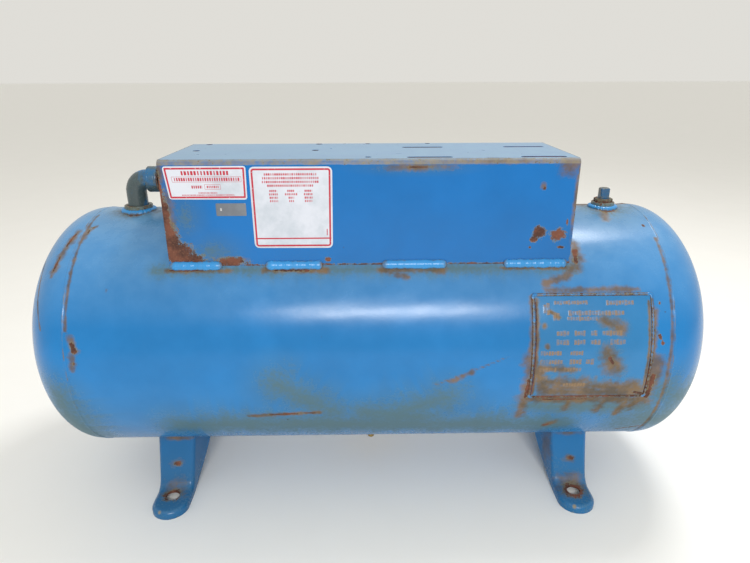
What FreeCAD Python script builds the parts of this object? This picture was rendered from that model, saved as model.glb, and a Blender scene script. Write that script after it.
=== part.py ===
import FreeCAD, Part
import Sketcher
import math
import os

# Horizontal air receiver: a welded tank on four stamped feet, with a motor and pump base on top.
# Frame: +X along the tank, -Y the front, +Z up, origin on the floor under the middle of the tank.

SIZES = {
    # tank
    "axis_height": 270.0,
    "tank_radius": 203.2,
    "shell_wall": 3.0,
    "shell_half": 445.8,
    "seam_gap": 2.0,
    "head_straight": 3.4,
    "head_depth": 101.6,
    "spigot_length": 15.0,
    "spigot_play": 0.1,
    "overshoot": 1.0,
    "seam_bead_radius": 6.6,
    "seam_bead_sink": 5.6,
    "long_bead_radius": 5.0,
    "long_bead_sink": 3.0,
    "long_bead_stop": 10.0,
    # motor and pump base
    "base_half": 298.2,
    "base_front": 138.5,
    "base_back": 56.2,
    "base_top": 304.4,
    "base_low": 140.0,
    "base_wall": 5.0,
    "base_bend": 8.0,
    "base_bead": 9.0,
    "pump_mid_x": -176.7,
    "pump_mid_y": 1.8,
    "pump_span_x": 185.0,
    "pump_span_y": 81.0,
    "pump_hole": 5.5,
    "motor_mid_x": 168.0,
    "motor_mid_y": -64.0,
    "motor_span_x": 164.0,
    "motor_span_y": 114.0,
    "motor_slot": 66.0,
    "motor_slot_r": 5.0,
    "guard_x": -2.2,
    "guard_front_y": -117.0,
    "guard_back_y": 43.5,
    "guard_hole": 4.5,
    "guard_side_x": 99.5,
    "guard_side_y": 43.5,
    "pilot_x": -61.0,
    "pilot_y": -18.0,
    "pilot_hole": 1.8,
    # top ports
    "port_left_x": -386.0,
    "port_right_x": 395.0,
    "boss_rise": 9.0,
    "boss_depth": 8.0,
    "boss_left_r": 22.4,
    "boss_left_bore": 16.3,
    "boss_right_r": 18.5,
    "boss_right_bore": 13.3,
    "boss_weld_leg": 6.0,
    "boss_weld_sink": 3.0,
    "elbow_leg_r": 16.2,
    "elbow_axis_rise": 51.0,
    "elbow_bend": 20.0,
    "elbow_band_r": 21.2,
    "elbow_reach": 41.0,
    "elbow_band_width": 17.0,
    "elbow_bore": 12.6,
    "elbow_port_r": 15.6,
    "elbow_port_depth": 16.0,
    "elbow_thread": 15.0,
    "bushing_hex": 15.6,
    "bushing_rise": 6.0,
    "bushing_bore": 10.3,
    "bushing_thread": 14.0,
    "plug_square": 14.6,
    "plug_rise": 17.0,
    "plug_thread": 12.0,
    "plug_gap": 1.0,
    # drain
    "drain_boss_r": 11.0,
    "drain_bore": 6.9,
    "drain_drop": 9.0,
    "drain_boss_depth": 5.0,
    "drain_weld_leg": 5.0,
    "drain_weld_sink": 2.0,
    "drain_weld_drop": 4.0,
    "cock_drop": 27.0,
    "cock_collar": 10.4,
    "cock_collar_length": 6.7,
    "cock_barrel_r": 10.0,
    "cock_barrel_half": 11.0,
    "cock_neck_r": 8.0,
    "cock_nozzle_r": 5.6,
    "cock_length": 38.0,
    "cock_thread": 10.0,
    "cock_gap": 0.3,
    "key_rise": 8.0,
    "flow_bore": 3.0,
    "key_front_r": 6.5,
    "key_back_r": 5.5,
    "key_play": 0.05,
    "key_gap": 0.3,
    "key_head_r": 6.0,
    "key_head_length": 5.0,
    "key_neck_r": 5.0,
    "lever_half": 15.0,
    "lever_thick": 5.0,
    "lever_tip_r": 3.3,
    "stub_r": 3.4,
    "stub_length": 9.0,
    "washer_r": 7.0,
    "washer_thick": 1.2,
    "nut_hex": 6.3,
    "nut_thick": 5.0,
    # feet
    "foot_left_x": -338.5,
    "foot_right_x": 346.5,
    "foot_half_width": 30.0,
    "foot_toe_y": 198.0,
    "foot_pad_top": 13.5,
    "foot_web_y": 134.5,
    "foot_web_lean": 20.0,
    "foot_web_bend": 18.0,
    "foot_high": 112.0,
    "foot_back_y": 36.0,
    "foot_flare_y": 130.0,
    "foot_flare_radius": 240.0,
    "foot_arch_front_y": 138.0,
    "foot_arch_back_y": 42.0,
    "foot_arch_high": 84.0,
    "foot_arch_radius": 130.0,
    "foot_rim": 8.0,
    "foot_plate": 3.5,
    "foot_trim": 20.0,
    "foot_hole_y": 156.0,
    "foot_hole": 11.0,
    "foot_bead": 5.0,
    "foot_bead_reach": 55.8,
    "foot_bead_turn": 12.6,
    "foot_bead_start": 27.5,
    "foot_bead_sweep": 10.5,
    # plates and labels
    "plate_left_x": 240.5,
    "plate_right_x": 411.0,
    "plate_top_angle": 32.3,
    "plate_sweep": 44.2,
    "plate_rise": 1.4,
    "frame_width": 5.5,
    "frame_rise": 2.0,
    "label_thick": 0.3,
}

FRONT_BEADS = ((-297.0, -220.0), (-156.0, -71.0), (17.0, 114.0), (199.0, 294.0))
REAR_BEADS = ((-280.0, -205.0), (-120.0, -40.0), (40.0, 120.0), (205.0, 280.0))
LABELS = {
    "model_label": (-291.5, -174.2, 248.0, 296.0),
    "caution_label": (-170.6, -52.8, 175.4, 295.0),
    "ratings_sticker": (-221.5, -177.6, 224.4, 243.2),
}
ALONG_X = FreeCAD.Rotation(FreeCAD.Vector(0, 1, 0), 90)
AGAINST_X = FreeCAD.Rotation(FreeCAD.Vector(0, 1, 0), -90)
ALONG_Y = FreeCAD.Rotation(FreeCAD.Vector(1, 0, 0), -90)
UPSIDE_DOWN = FreeCAD.Rotation(FreeCAD.Vector(1, 0, 0), 180)
ORIGIN = ("0", "0", "0")
CLOSE = 0.01

doc = FreeCAD.newDocument("air_receiver")
sheet = doc.addObject("Spreadsheet::Sheet", "Sizes")
for row, (word, number) in enumerate(SIZES.items(), start=1):
    sheet.set("A%d" % row, word)
    sheet.set("B%d" % row, str(number))
    sheet.setAlias("B%d" % row, word)
doc.recompute()

pieces = []


def number(text):
    result = sheet.evalExpression(text)
    return float(getattr(result, "Value", result))


def place(thing, at, turn=None):
    if turn is not None:
        thing.Placement = FreeCAD.Placement(FreeCAD.Vector(), turn)
    for axis, text in zip("xyz", at):
        thing.setExpression("Placement.Base." + axis, text)
    return thing


def solid(kind, at=ORIGIN, turn=None, **sizes):
    thing = doc.addObject("Part::" + kind, kind)
    for name, text in sizes.items():
        thing.setExpression(name, text)
    return place(thing, at, turn)


def cylinder(radius, length, at=ORIGIN, turn=None):
    return solid("Cylinder", at, turn, Radius=radius, Height=length)


def joined(*things):
    whole = doc.addObject("Part::MultiFuse", "Whole")
    whole.Shapes = list(things)
    return whole


def without(base, *tools):
    rest = doc.addObject("Part::Cut", "Rest")
    rest.Base = base
    rest.Tool = tools[0] if len(tools) == 1 else joined(*tools)
    return rest


def finished(thing, node):
    thing.Label = node
    pieces.append(thing)
    return thing


def tank_solid():
    """The full round of the tank, used to trim what is welded on it."""
    return cylinder(
        "Sizes.tank_radius",
        "2 * Sizes.shell_half",
        ("-Sizes.shell_half", "0", "Sizes.axis_height"),
        ALONG_X,
    )


# Bodies: sketches on a body's own planes, with every point bound to the sheet.


def new_body(node, at=ORIGIN, turn=None):
    body = doc.addObject("PartDesign::Body", node)
    place(body, at, turn)
    return finished(body, node)


def new_sketch(body, plane):
    sketch = body.newObject("Sketcher::SketchObject", "Sketch")
    for feature in body.Origin.OriginFeatures:
        if feature.Role == plane:
            sketch.AttachmentSupport = [(feature, "")]
    sketch.MapMode = "FlatFace"
    return sketch


def hold(sketch, kind, geometry, point, text):
    """Tie one coordinate of a point to the sheet, from the sketch's origin."""
    amount = sketch.addConstraint(Sketcher.Constraint(kind, -1, 1, geometry, point, number(text)))
    sketch.setExpression("Constraints[%d]" % amount, text)


def hold_point(sketch, geometry, point, where):
    hold(sketch, "DistanceX", geometry, point, where[0])
    hold(sketch, "DistanceY", geometry, point, where[1])


def hold_radius(sketch, geometry, text):
    amount = sketch.addConstraint(Sketcher.Constraint("Radius", geometry, number(text)))
    sketch.setExpression("Constraints[%d]" % amount, text)


def vector(where):
    return FreeCAD.Vector(number(where[0]), number(where[1]), 0)


def draw_line(sketch, start, end):
    return sketch.addGeometry(Part.LineSegment(start, end), False)


def draw_polygon(sketch, corners):
    count = len(corners)
    for index in range(count):
        draw_line(sketch, vector(corners[index]), vector(corners[(index + 1) % count]))
    for index in range(count):
        sketch.addConstraint(Sketcher.Constraint("Coincident", index, 2, (index + 1) % count, 1))
        hold_point(sketch, index, 1, corners[index])


def draw_circle(sketch, centre, radius):
    circle = Part.Circle(vector(centre), FreeCAD.Vector(0, 0, 1), number(radius))
    index = sketch.addGeometry(circle, False)
    hold_point(sketch, index, 3, centre)
    hold_radius(sketch, index, radius)


def draw_arc(sketch, centre, radius, start_angle, end_angle):
    circle = Part.Circle(centre, FreeCAD.Vector(0, 0, 1), radius)
    return sketch.addGeometry(Part.ArcOfCircle(circle, start_angle, end_angle), False)


def draw_slot(sketch, centre, length, radius):
    """A slot along X: two half rounds joined by tangent lines."""
    reach = "(%s / 2 - %s)" % (length, radius)
    low = (centre[0] + " - " + reach, centre[1])
    high = (centre[0] + " + " + reach, centre[1])
    half_width = FreeCAD.Vector(0, number(radius), 0)
    left = draw_arc(sketch, vector(low), number(radius), math.pi / 2, 3 * math.pi / 2)
    right = draw_arc(sketch, vector(high), number(radius), -math.pi / 2, math.pi / 2)
    top = draw_line(sketch, vector(low) + half_width, vector(high) + half_width)
    base = draw_line(sketch, vector(low) - half_width, vector(high) - half_width)
    for line, arc, line_end, arc_end in (
        (top, left, 1, 1),
        (top, right, 2, 2),
        (base, left, 1, 2),
        (base, right, 2, 1),
    ):
        sketch.addConstraint(Sketcher.Constraint("Tangent", line, line_end, arc, arc_end))
    hold_point(sketch, left, 3, low)
    hold_point(sketch, right, 3, high)
    hold_radius(sketch, left, radius)
    hold_radius(sketch, right, radius)


def pad(body, sketch, length, symmetric=False):
    feature = body.newObject("PartDesign::Pad", "Pad")
    feature.Profile = sketch
    feature.SideType = "Symmetric" if symmetric else "One side"
    feature.setExpression("Length", length)
    doc.recompute()
    return feature


def pocket(body, sketch, upward=False, symmetric=False):
    """Cut right through, and make sure that something was cut."""
    before = body.Shape.Volume
    feature = body.newObject("PartDesign::Pocket", "Pocket")
    feature.Profile = sketch
    feature.SideType = "Symmetric" if symmetric else "One side"
    feature.Type = "ThroughAll"
    feature.Reversed = upward
    doc.recompute()
    if body.Shape.Volume > before - 1.0:
        raise RuntimeError("a pocket in %s cuts nothing" % body.Label)
    return feature


def edges_where(feature, test):
    names = []
    for index, edge in enumerate(feature.Shape.Edges, start=1):
        if test(edge):
            names.append("Edge%d" % index)
    return names


def faces_where(feature, test):
    names = []
    for index, face in enumerate(feature.Shape.Faces, start=1):
        if test(face):
            names.append("Face%d" % index)
    return names


def fillet(body, feature, names, radius):
    rounding = body.newObject("PartDesign::Fillet", "Fillet")
    rounding.Base = (feature, names)
    rounding.setExpression("Radius", radius)
    doc.recompute()
    return rounding


# Tank: rolled shell, two dished heads that fit inside its ends, and their seams.


def make_shell():
    body = new_body("tank_shell", ("0", "0", "Sizes.axis_height"))
    ring = new_sketch(body, "YZ_Plane")
    draw_circle(ring, ("0", "0"), "Sizes.tank_radius")
    draw_circle(ring, ("0", "0"), "Sizes.tank_radius - Sizes.shell_wall")
    pad(body, ring, "2 * Sizes.shell_half", symmetric=True)
    top_holes = new_sketch(body, "XY_Plane")
    draw_circle(top_holes, ("Sizes.port_left_x", "0"), "Sizes.boss_left_r + Sizes.spigot_play")
    draw_circle(top_holes, ("Sizes.port_right_x", "0"), "Sizes.boss_right_r + Sizes.spigot_play")
    pocket(body, top_holes, upward=True)
    drain_hole = new_sketch(body, "XY_Plane")
    draw_circle(drain_hole, ("0", "0"), "Sizes.drain_boss_r + Sizes.spigot_play")
    pocket(body, drain_hole)


def head_solid(trim, shoulder, turn, side):
    """Half an ellipsoid on a short straight, thinner all round by trim."""
    radius = "Sizes.tank_radius - " + trim
    dome_at = ("%s * (%s + Sizes.head_straight)" % (side, shoulder), "0", "Sizes.axis_height")
    depth = "Sizes.head_depth - " + trim
    dome = solid("Ellipsoid", dome_at, turn, Radius1=depth, Radius2=radius, Radius3=radius)
    dome.Angle1 = 0
    straight_at = ("%s * (%s)" % (side, shoulder), "0", "Sizes.axis_height")
    straight = cylinder(radius, "Sizes.head_straight", straight_at, turn)
    return joined(dome, straight)


def make_head(name, side, turn):
    shoulder = "Sizes.shell_half + Sizes.seam_gap"
    spigot_at = ("%s * (%s - Sizes.spigot_length)" % (side, shoulder), "0", "Sizes.axis_height")
    spigot_radius = "Sizes.tank_radius - Sizes.shell_wall - Sizes.spigot_play"
    spigot = cylinder(spigot_radius, "Sizes.spigot_length + Sizes.head_straight", spigot_at, turn)
    spigot_bore = cylinder(
        spigot_radius + " - Sizes.shell_wall",
        "Sizes.spigot_length + Sizes.head_straight + Sizes.overshoot",
        ("%s * (%s - Sizes.spigot_length - Sizes.overshoot)" % (side, shoulder), "0", "Sizes.axis_height"),
        turn,
    )
    outside = joined(head_solid("0", shoulder, turn, side), spigot)
    inner_trim = "(2 * Sizes.shell_wall + Sizes.spigot_play)"
    hollow = joined(head_solid(inner_trim, shoulder, turn, side), spigot_bore)
    finished(without(outside, hollow), "head_" + name)


def make_seam(name, side, turn):
    gap_at = ("%s * Sizes.shell_half" % side, "0", "Sizes.axis_height")
    inner_radius = "Sizes.tank_radius - Sizes.shell_wall - Sizes.spigot_play / 2"
    fill = without(
        cylinder("Sizes.tank_radius", "Sizes.seam_gap", gap_at, turn),
        cylinder(inner_radius, "Sizes.seam_gap", gap_at, turn),
    )
    crown_at = ("%s * (Sizes.shell_half + Sizes.seam_gap / 2)" % side, "0", "Sizes.axis_height")
    crown = solid(
        "Torus",
        crown_at,
        turn,
        Radius1="Sizes.tank_radius - Sizes.seam_bead_sink",
        Radius2="Sizes.seam_bead_radius",
    )
    core_start = "%s * (Sizes.shell_half + Sizes.seam_gap / 2 - 2 * Sizes.seam_bead_radius)" % side
    core_at = (core_start, "0", "Sizes.axis_height")
    cap = without(crown, cylinder("Sizes.tank_radius", "4 * Sizes.seam_bead_radius", core_at, turn))
    finished(joined(fill, cap), "seam_weld_" + name)


def make_long_seam():
    bead = cylinder(
        "Sizes.long_bead_radius",
        "2 * (Sizes.shell_half - Sizes.long_bead_stop)",
        (
            "Sizes.long_bead_stop - Sizes.shell_half",
            "Sizes.tank_radius - Sizes.long_bead_sink",
            "Sizes.axis_height",
        ),
        ALONG_X,
    )
    finished(without(bead, tank_solid()), "long_seam_weld")


# Base for the motor and pump: a channel bent from plate, its edges cut to the round of the tank.


def make_base():
    body = new_body("motor_base", ("0", "0", "Sizes.axis_height"))
    section = new_sketch(body, "YZ_Plane")
    front, back, top = "-Sizes.base_front", "Sizes.base_back", "Sizes.base_top"
    draw_polygon(section, (
        (front, "Sizes.base_low"),
        (front, top),
        (back, top),
        (back, "Sizes.base_low"),
        (back + " - Sizes.base_wall", "Sizes.base_low"),
        (back + " - Sizes.base_wall", top + " - Sizes.base_wall"),
        (front + " + Sizes.base_wall", top + " - Sizes.base_wall"),
        (front + " + Sizes.base_wall", "Sizes.base_low"),
    ))
    channel = pad(body, section, "2 * Sizes.base_half", symmetric=True)
    for drop, radius in (("0", "Sizes.base_bend"), ("Sizes.base_wall", "Sizes.base_bend - Sizes.base_wall")):
        level = number("Sizes.base_top - " + drop)
        bends = edges_where(channel, lambda edge: (
            edge.Length > SIZES["base_half"] and abs(edge.CenterOfMass.z - level) < CLOSE
        ))
        channel = fillet(body, channel, bends, radius)
    round_of_tank = new_sketch(body, "YZ_Plane")
    draw_circle(round_of_tank, ("0", "0"), "Sizes.tank_radius")
    pocket(body, round_of_tank, symmetric=True)
    make_base_holes(body)


def make_base_holes(body):
    holes = new_sketch(body, "XY_Plane")
    for x_side in ("-", "+"):
        for y_side in ("-", "+"):
            pump_hole = (
                "Sizes.pump_mid_x %s Sizes.pump_span_x / 2" % x_side,
                "Sizes.pump_mid_y %s Sizes.pump_span_y / 2" % y_side,
            )
            motor_slot = (
                "Sizes.motor_mid_x %s Sizes.motor_span_x / 2" % x_side,
                "Sizes.motor_mid_y %s Sizes.motor_span_y / 2" % y_side,
            )
            draw_circle(holes, pump_hole, "Sizes.pump_hole")
            draw_slot(holes, motor_slot, "Sizes.motor_slot", "Sizes.motor_slot_r")
    draw_circle(holes, ("Sizes.guard_x", "Sizes.guard_front_y"), "Sizes.guard_hole")
    draw_circle(holes, ("Sizes.guard_x", "Sizes.guard_back_y"), "Sizes.guard_hole")
    draw_circle(holes, ("Sizes.guard_side_x", "Sizes.guard_side_y"), "Sizes.guard_hole")
    draw_circle(holes, ("Sizes.pilot_x", "Sizes.pilot_y"), "Sizes.pilot_hole")
    pocket(body, holes, upward=True)


def make_base_bead(node, start_x, end_x, wall_y, outward):
    """A fillet bead in the corner between a wall of the base and the tank."""
    corner_z = "Sizes.axis_height + sqrt(Sizes.tank_radius ^ 2 - %s ^ 2)" % wall_y
    wall = "%s * %s" % (outward, wall_y)
    first_x = "%s + Sizes.base_bead" % start_x
    last_x = "%s - Sizes.base_bead" % end_x
    ends = [solid("Sphere", (x, wall, corner_z), Radius="Sizes.base_bead") for x in (first_x, last_x)]
    length = str(end_x - start_x)
    run = cylinder("Sizes.base_bead", length + " - 2 * Sizes.base_bead", (first_x, wall, corner_z), ALONG_X)
    behind = "0" if outward < 0 else "-2 * Sizes.base_bead"
    wall_block = solid(
        "Box",
        (
            "%s - Sizes.base_bead" % start_x,
            "%s + %s" % (wall, behind),
            corner_z + " - 2 * Sizes.base_bead",
        ),
        Length=length + " + 2 * Sizes.base_bead",
        Width="2 * Sizes.base_bead",
        Height="4 * Sizes.base_bead",
    )
    finished(without(joined(run, *ends), wall_block, tank_solid()), node)


# Ports: threaded bosses through the shell, each with a ring of weld, and what is screwed in them.


def boss(node, x, radius, bore):
    base_z = "Sizes.axis_height + Sizes.tank_radius - Sizes.boss_depth"
    length = "Sizes.boss_depth + Sizes.boss_rise"
    outside = cylinder(radius, length, (x, "0", base_z))
    finished(without(outside, cylinder(bore, length, (x, "0", base_z))), node)


def boss_weld(node, x, radius):
    base_z = "Sizes.axis_height + Sizes.tank_radius - Sizes.boss_weld_sink"
    height = "Sizes.boss_weld_leg + Sizes.boss_weld_sink"
    ring = solid(
        "Cone",
        (x, "0", base_z),
        Radius1=radius + " + Sizes.boss_weld_leg",
        Radius2=radius,
        Height=height,
    )
    core = cylinder(radius, height, (x, "0", base_z))
    finished(without(ring, core, tank_solid()), node)


def make_elbow():
    x, middle = "Sizes.port_left_x", "Sizes.axis_height + Sizes.tank_radius + Sizes.elbow_axis_rise"
    foot_z = "Sizes.axis_height + Sizes.tank_radius + Sizes.boss_rise - Sizes.elbow_thread"
    leg = "Sizes.elbow_axis_rise - Sizes.elbow_bend + Sizes.elbow_thread - Sizes.boss_rise"
    bend_at = (x + " + Sizes.elbow_bend", "0", middle + " - Sizes.elbow_bend")
    run_at = (x + " + Sizes.elbow_bend", "0", middle)
    run = "Sizes.elbow_reach - Sizes.elbow_bend"
    bend_turn = FreeCAD.Rotation(
        FreeCAD.Vector(-1, 0, 0), FreeCAD.Vector(0, 0, 1), FreeCAD.Vector(0, 1, 0), "ZXY"
    )

    def knee(radius):
        quarter = solid("Torus", bend_at, bend_turn, Radius1="Sizes.elbow_bend", Radius2=radius)
        quarter.Angle3 = 90
        upright = cylinder(radius, leg, (x, "0", foot_z))
        level = cylinder(radius, run, run_at, ALONG_X)
        return joined(quarter, upright, level)

    face = x + " + Sizes.elbow_reach"
    band_at = (face + " - Sizes.elbow_band_width", "0", middle)
    band = cylinder("Sizes.elbow_band_r", "Sizes.elbow_band_width", band_at, ALONG_X)
    port_at = (face + " - Sizes.elbow_port_depth", "0", middle)
    port = cylinder("Sizes.elbow_port_r", "Sizes.elbow_port_depth", port_at, ALONG_X)
    outside = joined(knee("Sizes.elbow_leg_r"), band)
    finished(without(outside, knee("Sizes.elbow_bore"), port), "elbow_fitting")


def make_plug():
    x = "Sizes.port_right_x"
    boss_top = "Sizes.axis_height + Sizes.tank_radius + Sizes.boss_rise"
    hexagon = solid(
        "Prism",
        (x, "0", boss_top),
        Circumradius="Sizes.bushing_hex",
        Height="Sizes.bushing_rise",
    )
    shank_r = "Sizes.boss_right_bore - Sizes.spigot_play"
    shank_at = (x, "0", boss_top + " - Sizes.bushing_thread")
    shank = cylinder(shank_r, "Sizes.bushing_thread", shank_at)
    bore = cylinder("Sizes.bushing_bore", "Sizes.bushing_rise + Sizes.bushing_thread", shank_at)
    finished(without(joined(hexagon, shank), bore), "reducing_bushing")
    bushing_top = boss_top + " + Sizes.bushing_rise"
    thread = cylinder(
        "Sizes.bushing_bore - Sizes.spigot_play",
        "Sizes.plug_thread + 2 * Sizes.plug_gap",
        (x, "0", bushing_top + " - Sizes.plug_thread"),
    )
    square = solid(
        "Box",
        (x + " - Sizes.plug_square / 2", "-Sizes.plug_square / 2", bushing_top + " + Sizes.plug_gap"),
        Length="Sizes.plug_square",
        Width="Sizes.plug_square",
        Height="Sizes.plug_rise - Sizes.plug_gap",
    )
    finished(joined(thread, square), "pipe_plug")


# Drain: a boss under the middle of the tank and a quarter-turn cock with a tapered key.


def make_drain():
    tank_low = "Sizes.axis_height - Sizes.tank_radius"
    boss_low = tank_low + " - Sizes.drain_drop"
    length = "Sizes.drain_drop + Sizes.drain_boss_depth"
    outside = cylinder("Sizes.drain_boss_r", length, ("0", "0", boss_low))
    finished(without(outside, cylinder("Sizes.drain_bore", length, ("0", "0", boss_low))), "drain_boss")
    height = "Sizes.drain_weld_sink + Sizes.drain_weld_drop"
    ring = solid(
        "Cone",
        ("0", "0", tank_low + " + Sizes.drain_weld_sink"),
        UPSIDE_DOWN,
        Radius1="Sizes.drain_boss_r + Sizes.drain_weld_leg",
        Radius2="Sizes.drain_boss_r",
        Height=height,
    )
    core_low = tank_low + " - Sizes.drain_weld_drop"
    core = cylinder("Sizes.drain_boss_r", height, ("0", "0", core_low))
    finished(without(ring, core, tank_solid()), "drain_boss_weld")
    key_z = boss_low + " - Sizes.cock_drop + Sizes.key_rise"
    make_cock_body(boss_low, key_z)
    make_cock_key(key_z)


def key_cone(play, start, length, key_z):
    taper = "(Sizes.key_front_r - Sizes.key_back_r)"
    span = "(2 * Sizes.cock_barrel_half)"
    return solid(
        "Cone",
        ("0", start, key_z),
        ALONG_Y,
        Radius1="Sizes.key_front_r - %s" % play,
        Radius2="Sizes.key_front_r - %s * (%s) / %s - %s" % (taper, length, span, play),
        Height=length,
    )


def make_cock_body(boss_low, key_z):
    shank = cylinder(
        "Sizes.drain_bore - Sizes.key_play",
        "Sizes.cock_thread + 2 * Sizes.cock_gap",
        ("0", "0", boss_low + " - 2 * Sizes.cock_gap"),
    )
    collar = solid(
        "Prism",
        ("0", "0", boss_low + " - Sizes.cock_collar_length"),
        Circumradius="Sizes.cock_collar",
        Height="Sizes.cock_collar_length - Sizes.cock_gap",
    )
    neck = cylinder(
        "Sizes.cock_neck_r",
        "Sizes.cock_drop - Sizes.cock_collar_length",
        ("0", "0", boss_low + " - Sizes.cock_drop"),
    )
    stem_low = boss_low + " - Sizes.cock_length"
    nozzle = cylinder("Sizes.cock_nozzle_r", "Sizes.cock_length - Sizes.cock_drop", ("0", "0", stem_low))
    barrel_length = "2 * Sizes.cock_barrel_half"
    barrel = cylinder("Sizes.cock_barrel_r", barrel_length, ("0", "-Sizes.cock_barrel_half", key_z), ALONG_Y)
    outside = joined(shank, collar, neck, nozzle, barrel)
    flow = cylinder(
        "Sizes.flow_bore",
        "Sizes.cock_length + Sizes.cock_thread + 2 * Sizes.overshoot",
        ("0", "0", stem_low + " - Sizes.overshoot"),
    )
    bore = key_cone("0", "-Sizes.cock_barrel_half", barrel_length, key_z)
    finished(without(outside, flow, bore), "drain_cock_body")


def make_cock_key(key_z):
    plug = key_cone("Sizes.key_play", "-Sizes.cock_barrel_half", "2 * Sizes.cock_barrel_half", key_z)
    head_front = "-Sizes.cock_barrel_half - Sizes.key_gap - Sizes.key_head_length"
    head = cylinder("Sizes.key_head_r", "Sizes.key_head_length", ("0", head_front, key_z), ALONG_Y)
    neck_at = ("0", "-Sizes.cock_barrel_half - Sizes.key_gap - Sizes.overshoot", key_z)
    neck = cylinder("Sizes.key_neck_r", "Sizes.key_gap + 2 * Sizes.overshoot", neck_at, ALONG_Y)
    lever = solid(
        "Box",
        ("-Sizes.lever_half", head_front, key_z + " - Sizes.lever_thick / 2"),
        Length="2 * Sizes.lever_half",
        Width="Sizes.lever_thick",
        Height="Sizes.lever_thick",
    )
    tips = [
        cylinder("Sizes.lever_tip_r", "Sizes.lever_thick", (x, head_front, key_z), ALONG_Y)
        for x in ("-Sizes.lever_half", "Sizes.lever_half")
    ]
    stub_at = ("0", "Sizes.cock_barrel_half - Sizes.overshoot", key_z)
    stub = cylinder("Sizes.stub_r", "Sizes.stub_length + Sizes.overshoot", stub_at, ALONG_Y)
    outside = joined(plug, neck, head, lever, stub, *tips)
    port_at = ("-Sizes.cock_barrel_r", "0", key_z)
    port = cylinder("Sizes.flow_bore", "2 * Sizes.cock_barrel_r", port_at, ALONG_X)
    finished(without(outside, port), "drain_cock_key")
    washer_y = "Sizes.cock_barrel_half + Sizes.key_gap"
    nut_y = washer_y + " + Sizes.washer_thick"
    bore_r = "Sizes.stub_r + Sizes.key_play"
    washer = cylinder("Sizes.washer_r", "Sizes.washer_thick", ("0", washer_y, key_z), ALONG_Y)
    finished(
        without(washer, cylinder(bore_r, "Sizes.washer_thick", ("0", washer_y, key_z), ALONG_Y)),
        "drain_cock_washer",
    )
    nut_at = ("0", nut_y, key_z)
    nut = solid("Prism", nut_at, ALONG_Y, Circumradius="Sizes.nut_hex", Height="Sizes.nut_thick")
    finished(
        without(nut, cylinder(bore_r, "Sizes.nut_thick", nut_at, ALONG_Y)),
        "drain_cock_nut",
    )


# Feet: stamped scoops, open at the back, trimmed to the round of the tank.


def draw_foot_plan(sketch):
    """Seen from above: a round toe, straight sides, and a flare towards the middle of the tank."""
    half, toe = number("Sizes.foot_half_width"), number("Sizes.foot_toe_y")
    flare_y, back_y = number("Sizes.foot_flare_y"), number("Sizes.foot_back_y")
    flare = number("Sizes.foot_flare_radius")
    swing = math.asin((flare_y - back_y) / flare)
    wide = half + flare * (1 - math.cos(swing))
    toe_centre = FreeCAD.Vector(0, half - toe, 0)
    nose = draw_arc(sketch, toe_centre, half, math.pi, 2 * math.pi)
    right = draw_line(sketch, FreeCAD.Vector(half, half - toe, 0), FreeCAD.Vector(half, -flare_y, 0))
    flare_centre = FreeCAD.Vector(half + flare, -flare_y, 0)
    right_flare = draw_arc(sketch, flare_centre, flare, math.pi - swing, math.pi)
    back = draw_line(sketch, FreeCAD.Vector(wide, -back_y, 0), FreeCAD.Vector(-wide, -back_y, 0))
    left_flare = draw_arc(sketch, FreeCAD.Vector(-half - flare, -flare_y, 0), flare, 0, swing)
    left = draw_line(sketch, FreeCAD.Vector(-half, -flare_y, 0), FreeCAD.Vector(-half, half - toe, 0))
    for first, first_end, second, second_end in (
        (nose, 2, right, 1),
        (right, 2, right_flare, 2),
        (left_flare, 1, left, 1),
        (left, 2, nose, 1),
    ):
        sketch.addConstraint(Sketcher.Constraint("Tangent", first, first_end, second, second_end))
    sketch.addConstraint(Sketcher.Constraint("Coincident", right_flare, 1, back, 1))
    sketch.addConstraint(Sketcher.Constraint("Coincident", back, 2, left_flare, 2))
    hold_point(sketch, nose, 3, ("0", "Sizes.foot_half_width - Sizes.foot_toe_y"))
    hold_radius(sketch, nose, "Sizes.foot_half_width")
    hold_radius(sketch, right_flare, "Sizes.foot_flare_radius")
    hold_radius(sketch, left_flare, "Sizes.foot_flare_radius")
    hold(sketch, "DistanceY", right, 2, "-Sizes.foot_flare_y")
    hold(sketch, "DistanceY", left, 1, "-Sizes.foot_flare_y")
    hold(sketch, "DistanceY", right, 1, "Sizes.foot_half_width - Sizes.foot_toe_y")
    hold(sketch, "DistanceY", left, 2, "Sizes.foot_half_width - Sizes.foot_toe_y")
    hold(sketch, "DistanceY", back, 1, "-Sizes.foot_back_y")
    hold(sketch, "DistanceY", back, 2, "-Sizes.foot_back_y")


def draw_above_foot(sketch):
    """What is cut away over the pad and in front of the leaning web."""
    lean = "tan(Sizes.foot_web_lean)"
    high = "Sizes.foot_high + Sizes.foot_trim"
    front = "-Sizes.foot_toe_y - Sizes.foot_trim"
    web_top = "-Sizes.foot_web_y + (%s - Sizes.foot_pad_top) * %s" % (high, lean)
    draw_polygon(sketch, (
        (front, "Sizes.foot_pad_top"),
        ("-Sizes.foot_web_y", "Sizes.foot_pad_top"),
        (web_top, high),
        (front, high),
    ))


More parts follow.
